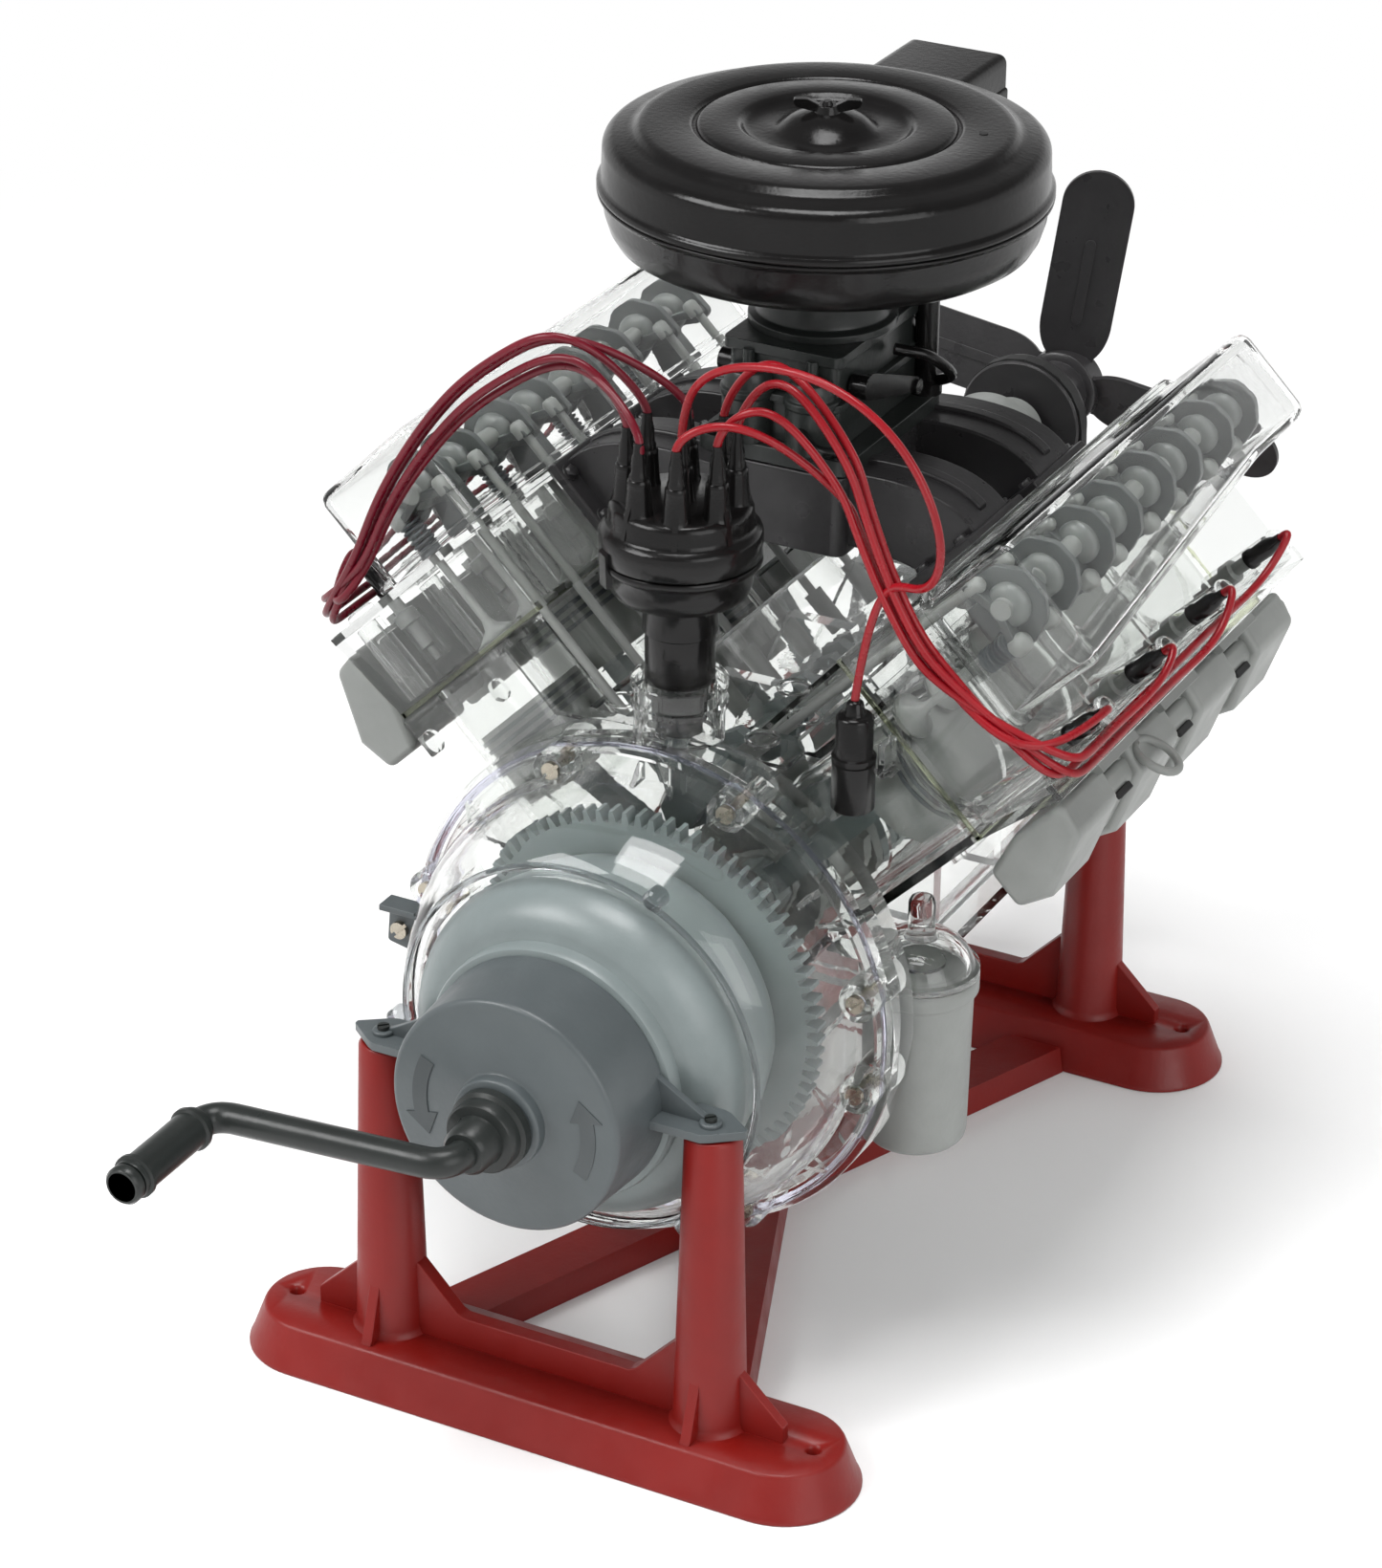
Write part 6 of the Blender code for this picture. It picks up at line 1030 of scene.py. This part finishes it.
def block():
    built = bmesh.new()
    slab_y(built, case_outline(0), CASE_START, CASE_END)
    shell = piece("block_shell", built, "clear", stands_for=["engine_block"], angle=40)
    carve(shell, bank_ends(0))
    room = bmesh.new()
    slab_y(room, case_outline(WALL), CASE_START + WALL, CASE_END - WALL)
    carve(shell, carve(loose(room), bank_ends(WALL)))
    cutter, built = bmesh.new(), bmesh.new()
    for _, side in SIDES:
        up = heading(side, 0, 1)
        for number in range(4):
            y = cylinder_y(side, number)
            rod(cutter, bank(side, 0, y, 70), bank(side, 0, y, 70) + up * 5, BORE, sides=64)
            turned(built, [(BORE, LINER_FOOT), (LINER, LINER_FOOT), (LINER, 71.1), (BORE, 71.1)],
                bank(side, 0, y, 0), up)
        start = FRONT[side] + 4.55
        box(cutter, (side * 17.5 - 4.2, start, 126.1), (side * 17.5 + 4.2, start + 116.9, 130.5))
    rod(cutter, (0, 50, CRANK_Z), (0, 188, CRANK_Z), CRANK_HOLE, sides=48)
    rod(cutter, (0, 184, CAM_Z), (0, 188, CAM_Z), CAM_HOLE, sides=48)
    rod(cutter, (0, DISTRIBUTOR_Y, 126), (0, DISTRIBUTOR_Y, 131), 2.6, sides=32)
    carve(shell, loose(cutter))
    piece("block_liners", built, "clear", angle=40)
    built = bmesh.new()
    web = [(28.1, 62.4), (28.1, 78.2), (7.5, 127.6), (-7.5, 127.6), (-28.1, 78.2), (-28.1, 62.4)]
    for y in (87.5, 119, 150.5):
        slab_y(built, web, y - 1.8, y + 1.8)
    webs = piece("block_bulkheads", built, "clear")
    cutter = bmesh.new()
    rod(cutter, (0, 50, CRANK_Z), (0, 188, CRANK_Z), CRANK_HOLE, sides=48)
    rod(cutter, (0, 56, CAM_Z), (0, 188, CAM_Z), CAM_HOLE, sides=48)
    carve(webs, loose(cutter))
    built = bmesh.new()
    turned(built, [(51.4, 0), (54.8, 0), (55, 0.3), (55, 8.8), (5.4, 8.8), (5.4, 8), (51.4, 8)],
        (0, 43.1, CRANK_Z), (0, 1, 0), 160)
    for degrees in LUGS:
        x, z = point_at(CRANK, LUG_CIRCLE, degrees)
        turned(built, [(1.2, 0.2), (4, 0.2), (4.2, 7.9), (1.2, 7.9)], (x, 43.1, z), (0, 1, 0), 32)
    for degrees in (28, 52, 90, 128, 152, 210, 330):
        u, w = point_at((0, 0), 1, degrees)
        side = Vector((-w, 0, u)) * 0.5
        rib = ((38, 50.8), (51.2, 44), (51.2, 51), (38, 51))
        prism(built, [Vector((u * out, y, CRANK_Z + w * out)) - side for out, y in rib], side * 2)
    piece("block_adapter", built, "clear", angle=40)
    built = bmesh.new()
    turned(built, [(7.4, 129.75), (9.2, 129.75), (9.2, 136.4), (9.9, 136.8), (9.9, 138), (9.2, 138.4),
        (9.2, 140.8), (9.9, 141.2), (9.9, 142.4), (9.6, 142.7), (7.4, 142.7)],
        (0, DISTRIBUTOR_Y, 0), sides=64)
    for x, y in ((-17, 62), (16, 60), (19, 73), (-16, 80), (-9, 66), (11, 84)):
        turned(built, [(2.9, 129.75), (3.7, 129.75), (3.6, 130.4), (3, 130.4)], (x, y, 0), sides=40)
    for _, side in SIDES:
        start = FRONT[side]
        for k in range(5):
            y = min(max(start + PITCH * k, start + 4), start + 122)
            turned(built, [(0, 0), (2.6, 0), (2.6, 1.2), (0, 1.2)], bank(side, 16.3, y, 66),
                heading(side, 1, 0), 24)
        bank_box(built, side, (16.32, 17.2), (start + 0.4, start + 125.6), (69.6, 72.6))
    piece("block_bosses", built, "clear", angle=40)


def piston_rings():
    for label, side in SIDES:
        up = heading(side, 0, 1)
        for number in range(4):
            node = f"piston_{label}_{number + 1}"
            crown = middle_of(node) / MM + up * 8
            built = bmesh.new()
            for low, high in ((-2.05, -1.15), (-4.05, -3.15), (-6.05, -5.15)):
                turned(built, [(12, low), (12.55, low), (12.55, high), (12, high)], crown, up, 64)
            piece(f"rings_{label}_{number + 1}", built, "dark_grey", node, angle=50)


# Oil filter

def oil_filter():
    centre = (49.2, 66.8, 0)
    built = bmesh.new()
    turned(built, [(0, 44), (8.2, 44), (9.6, 44.3), (10.4, 45.2), (10.7, 46.4), (11.2, 78.2), (11.9, 78.7),
        (12.2, 79.2), (12.2, 82.1), (11.9, 82.5), (0, 82.5)], centre)
    piece("filter_can", built, "light_grey", stands_for=["oil_filter_canister"], angle=50)
    built = bmesh.new()
    profile = [(0, 90.8), (4.4, 90.8), (7.2, 90), (9.4, 88.2), (10.8, 85.8), (11.3, 84.6), (12.2, 84.3),
        (12.3, 83), (11.9, 82.8), (9.6, 82.8), (9.2, 85), (7.6, 87.2), (4.6, 88.9), (0, 89.1)]
    turned(built, profile, centre)
    turned(built, [(0, 90.4), (3.6, 90.4), (3.2, 91.4), (2.8, 92), (2.8, 98.4), (2.3, 99.4), (1.4, 99.8),
        (0, 99.8)], centre, sides=48)
    turned(built, [(1, 84.4), (5.2, 84.4), (5.2, 85.2), (1, 85.2)], centre, sides=48)
    slab_y(built, [(30.3, 84), (41, 84), (41, 89.4), (31.2, 90.6), (30.3, 90)], 62.8, 70.8)
    piece("filter_head", built, "clear", stands_for=["oil_filter_dome"], angle=40)


# Fan end

PUMP_Z = 136.2


def fan_end():
    pump = (0, 0, PUMP_Z)
    built = bmesh.new()
    turned(built, [(0, 199.5), (2.8, 199.5), (2.8, 218.8), (14.1, 218.8), (14.5, 219.2), (14.5, 219.8),
        (11.9, 220.3), (11.9, 223.3), (14.5, 223.8), (14.5, 224.4), (14.1, 224.8), (7.4, 224.8), (7, 225.2),
        (7, 240.6), (8.6, 240.8), (9, 241.2), (9, 246.6), (8.6, 247), (3.2, 247), (3, 248), (0, 248.1)],
        pump, (0, 1, 0))
    for degrees in range(45, 405, 90):
        u, w = point_at((0, 0), 6.2, degrees)
        bolt(built, (u, 246.9, PUMP_Z + w), (0, 1, 0), 1.1, 1)
    for number in range(4):
        turn = Matrix.Translation((0, 244, PUMP_Z)) @ Matrix.Rotation(radians(8 + 90 * number), 4, "Y")
        pitch = Matrix.Rotation(radians(20), 4, "Z")
        outline = [(-5.4, 0), (5.4, 0)] + curve((5.6, 8), (8, 11), (8.2, 16), 8)
        outline += arc((0, 45.8), 8.2, 0, 180, 24) + curve((-8.2, 16), (-8, 11), (-5.6, 8), 8)
        groove = arc((0, 36), 1.2, 0, 180, 10) + arc((0, 17), 1.2, 180, 360, 10)
        for line, half in ((outline, 0.6), (groove, 0.95)):
            run = (turn @ pitch).to_3x3() @ Vector((0, half * 2, 0))
            prism(built, [turn @ pitch @ Vector((x, -half, z)) for x, z in line], run)
    # The blades use the black that is lightened to paint in its sheen
    piece("fan_blades", built, "painted_sheen_black", "fan", ["cooling_fan"], angle=40, bevel=0.25)
    built = bmesh.new()
    turned(built, [(3.2, 198.8), (12.1, 198.8), (12.5, 199.2), (12.5, 204.4), (12, 205.2), (7.4, 207.6),
        (7, 208.4), (7, 216.4), (6.6, 216.8), (3.2, 216.8)], pump, (0, 1, 0))
    piece("pump_case", built, "light_grey", stands_for=["water_pump"], angle=40)
    built = bmesh.new()
    for degrees in (30, 150, 210, 330):
        u, w = point_at((0, 0), 10.2, degrees)
        bolt(built, (u, 204.2, PUMP_Z + w), (0, 1, 0), 1.3, 1.2)
    piece("pump_bolts", built, "light_grey", angle=40)
    built = bmesh.new()
    for x, z in ((22, 70), (-22, 70), (23, 90), (-23, 90), (19, 118), (-19, 118), (0, 66.5)):
        turned(built, [(0, 0), (3, 0), (3, 0.9), (2.5, 1.3), (0, 1.4)], (x, 198.3, z), (0, 1, 0), 32)
    turned(built, [(11, 0), (14, 0), (14, 1), (13.6, 1.3), (11, 1.3)], (0, 198.3, CRANK_Z), (0, 1, 0), 64)
    piece("timing_cover_bosses", built, "clear", angle=40)


intake()
carburettor()
for label, side in SIDES:
    head_details(label, side)
    exhaust(label, side)
block()
piston_rings()
oil_filter()
fan_end()


# Stage, light and camera

def stage_floor():
    """A pale floor that keeps the object's shadow and is plain white further out, as the world is."""
    bpy.ops.mesh.primitive_plane_add(size=FLOOR_SIZE, location=(0, 0, -FLOOR_DROP))
    floor = bpy.context.object
    floor.name = "floor"
    made, tree, shader = nodes_of("pale_floor")
    set_inputs(shader, {"Base_Color": (*FLOOR_COLOUR, 1.0), "Roughness": 0.9})
    length = tree.nodes.new("ShaderNodeVectorMath")
    length.operation = "LENGTH"
    tree.links.new(place(tree), length.inputs[0])
    fade = span(tree, length.outputs["Value"], 0.0, 1.0, *FLOOR_FADE, "SMOOTHSTEP")
    rays = tree.nodes.new("ShaderNodeLightPath").outputs
    seen = rays["Is Camera Ray"]
    for other in ("Is Glossy Ray", "Is Transmission Ray"):
        seen = combined(tree, "MAXIMUM", seen, rays[other])
    white = add(tree, "ShaderNodeEmission", Strength=1.0, Color=WHITE)
    mixed = tree.nodes.new("ShaderNodeMixShader")
    tree.links.new(combined(tree, "MULTIPLY", seen, fade), mixed.inputs["Fac"])
    tree.links.new(shader.outputs["BSDF"], mixed.inputs[1])
    tree.links.new(white.outputs["Emission"], mixed.inputs[2])
    tree.links.new(mixed.outputs["Shader"], tree.nodes["Material Output"].inputs["Surface"])
    floor.data.materials.append(made)


def lamp(name, place_at, size, energy):
    data = bpy.data.lights.new(name, "AREA")
    data.shape = "RECTANGLE"
    data.size, data.size_y = size
    data.energy = energy
    made = linked(name, data)
    made.location = place_at
    aim = Vector(LAMP_TARGET) - Vector(place_at)
    made.rotation_euler = aim.to_track_quat("-Z", "Y").to_euler()


def world_light():
    """White to the camera and through clear pieces; glossy rays see it low down, under a dim ceiling."""
    world = bpy.data.worlds.new("studio")
    bpy.context.scene.world = world
    world.use_nodes = True
    tree = world.node_tree
    background = tree.nodes["Background"]
    background.inputs["Color"].default_value = WHITE
    rays = tree.nodes.new("ShaderNodeLightPath").outputs
    height = tree.nodes.new("ShaderNodeSeparateXYZ")
    tree.links.new(tree.nodes.new("ShaderNodeTexCoord").outputs["Generated"], height.inputs[0])
    ceiling = span(tree, height.outputs["Z"], 1.0, CEILING_STRENGTH, *CEILING_SPAN)
    glossy, seen = add(tree, "ShaderNodeMix", A=WORLD_STRENGTH), add(tree, "ShaderNodeMix", B=1.0)
    tree.links.new(rays["Is Glossy Ray"], glossy.inputs["Factor"])
    tree.links.new(ceiling, glossy.inputs["B"])
    tree.links.new(combined(tree, "MAXIMUM", rays["Is Camera Ray"], rays["Is Transmission Ray"]),
        seen.inputs["Factor"])
    tree.links.new(glossy.outputs["Result"], seen.inputs["A"])
    tree.links.new(seen.outputs["Result"], background.inputs["Strength"])


def camera():
    data = bpy.data.cameras.new("photo_camera")
    data.lens = CAMERA_LENS
    data.sensor_width = SENSOR
    made = linked("photo_camera", data)
    turn = (Matrix.Rotation(CAMERA_HEADING, 4, "Z") @ Matrix.Rotation(pi / 2 - CAMERA_PITCH, 4, "X")
        @ Matrix.Rotation(CAMERA_ROLL, 4, "Z"))
    made.matrix_world = Matrix.Translation(CAMERA_PLACE) @ turn
    bpy.context.scene.camera = made


stage_floor()
world_light()
lamp("key", (-0.9, -0.9, 1.3), (0.9, 0.7), 21.5)
lamp("fill", (1.3, -0.6, 0.8), (1.0, 1.0), 8.5)
lamp("top", (0.0, 0.0, 1.5), (0.6, 0.6), 12.4)
camera()

scene = bpy.context.scene
scene.view_settings.view_transform = "Standard"
scene.cycles.max_bounces = scene.cycles.transmission_bounces = scene.cycles.transparent_max_bounces = BOUNCES
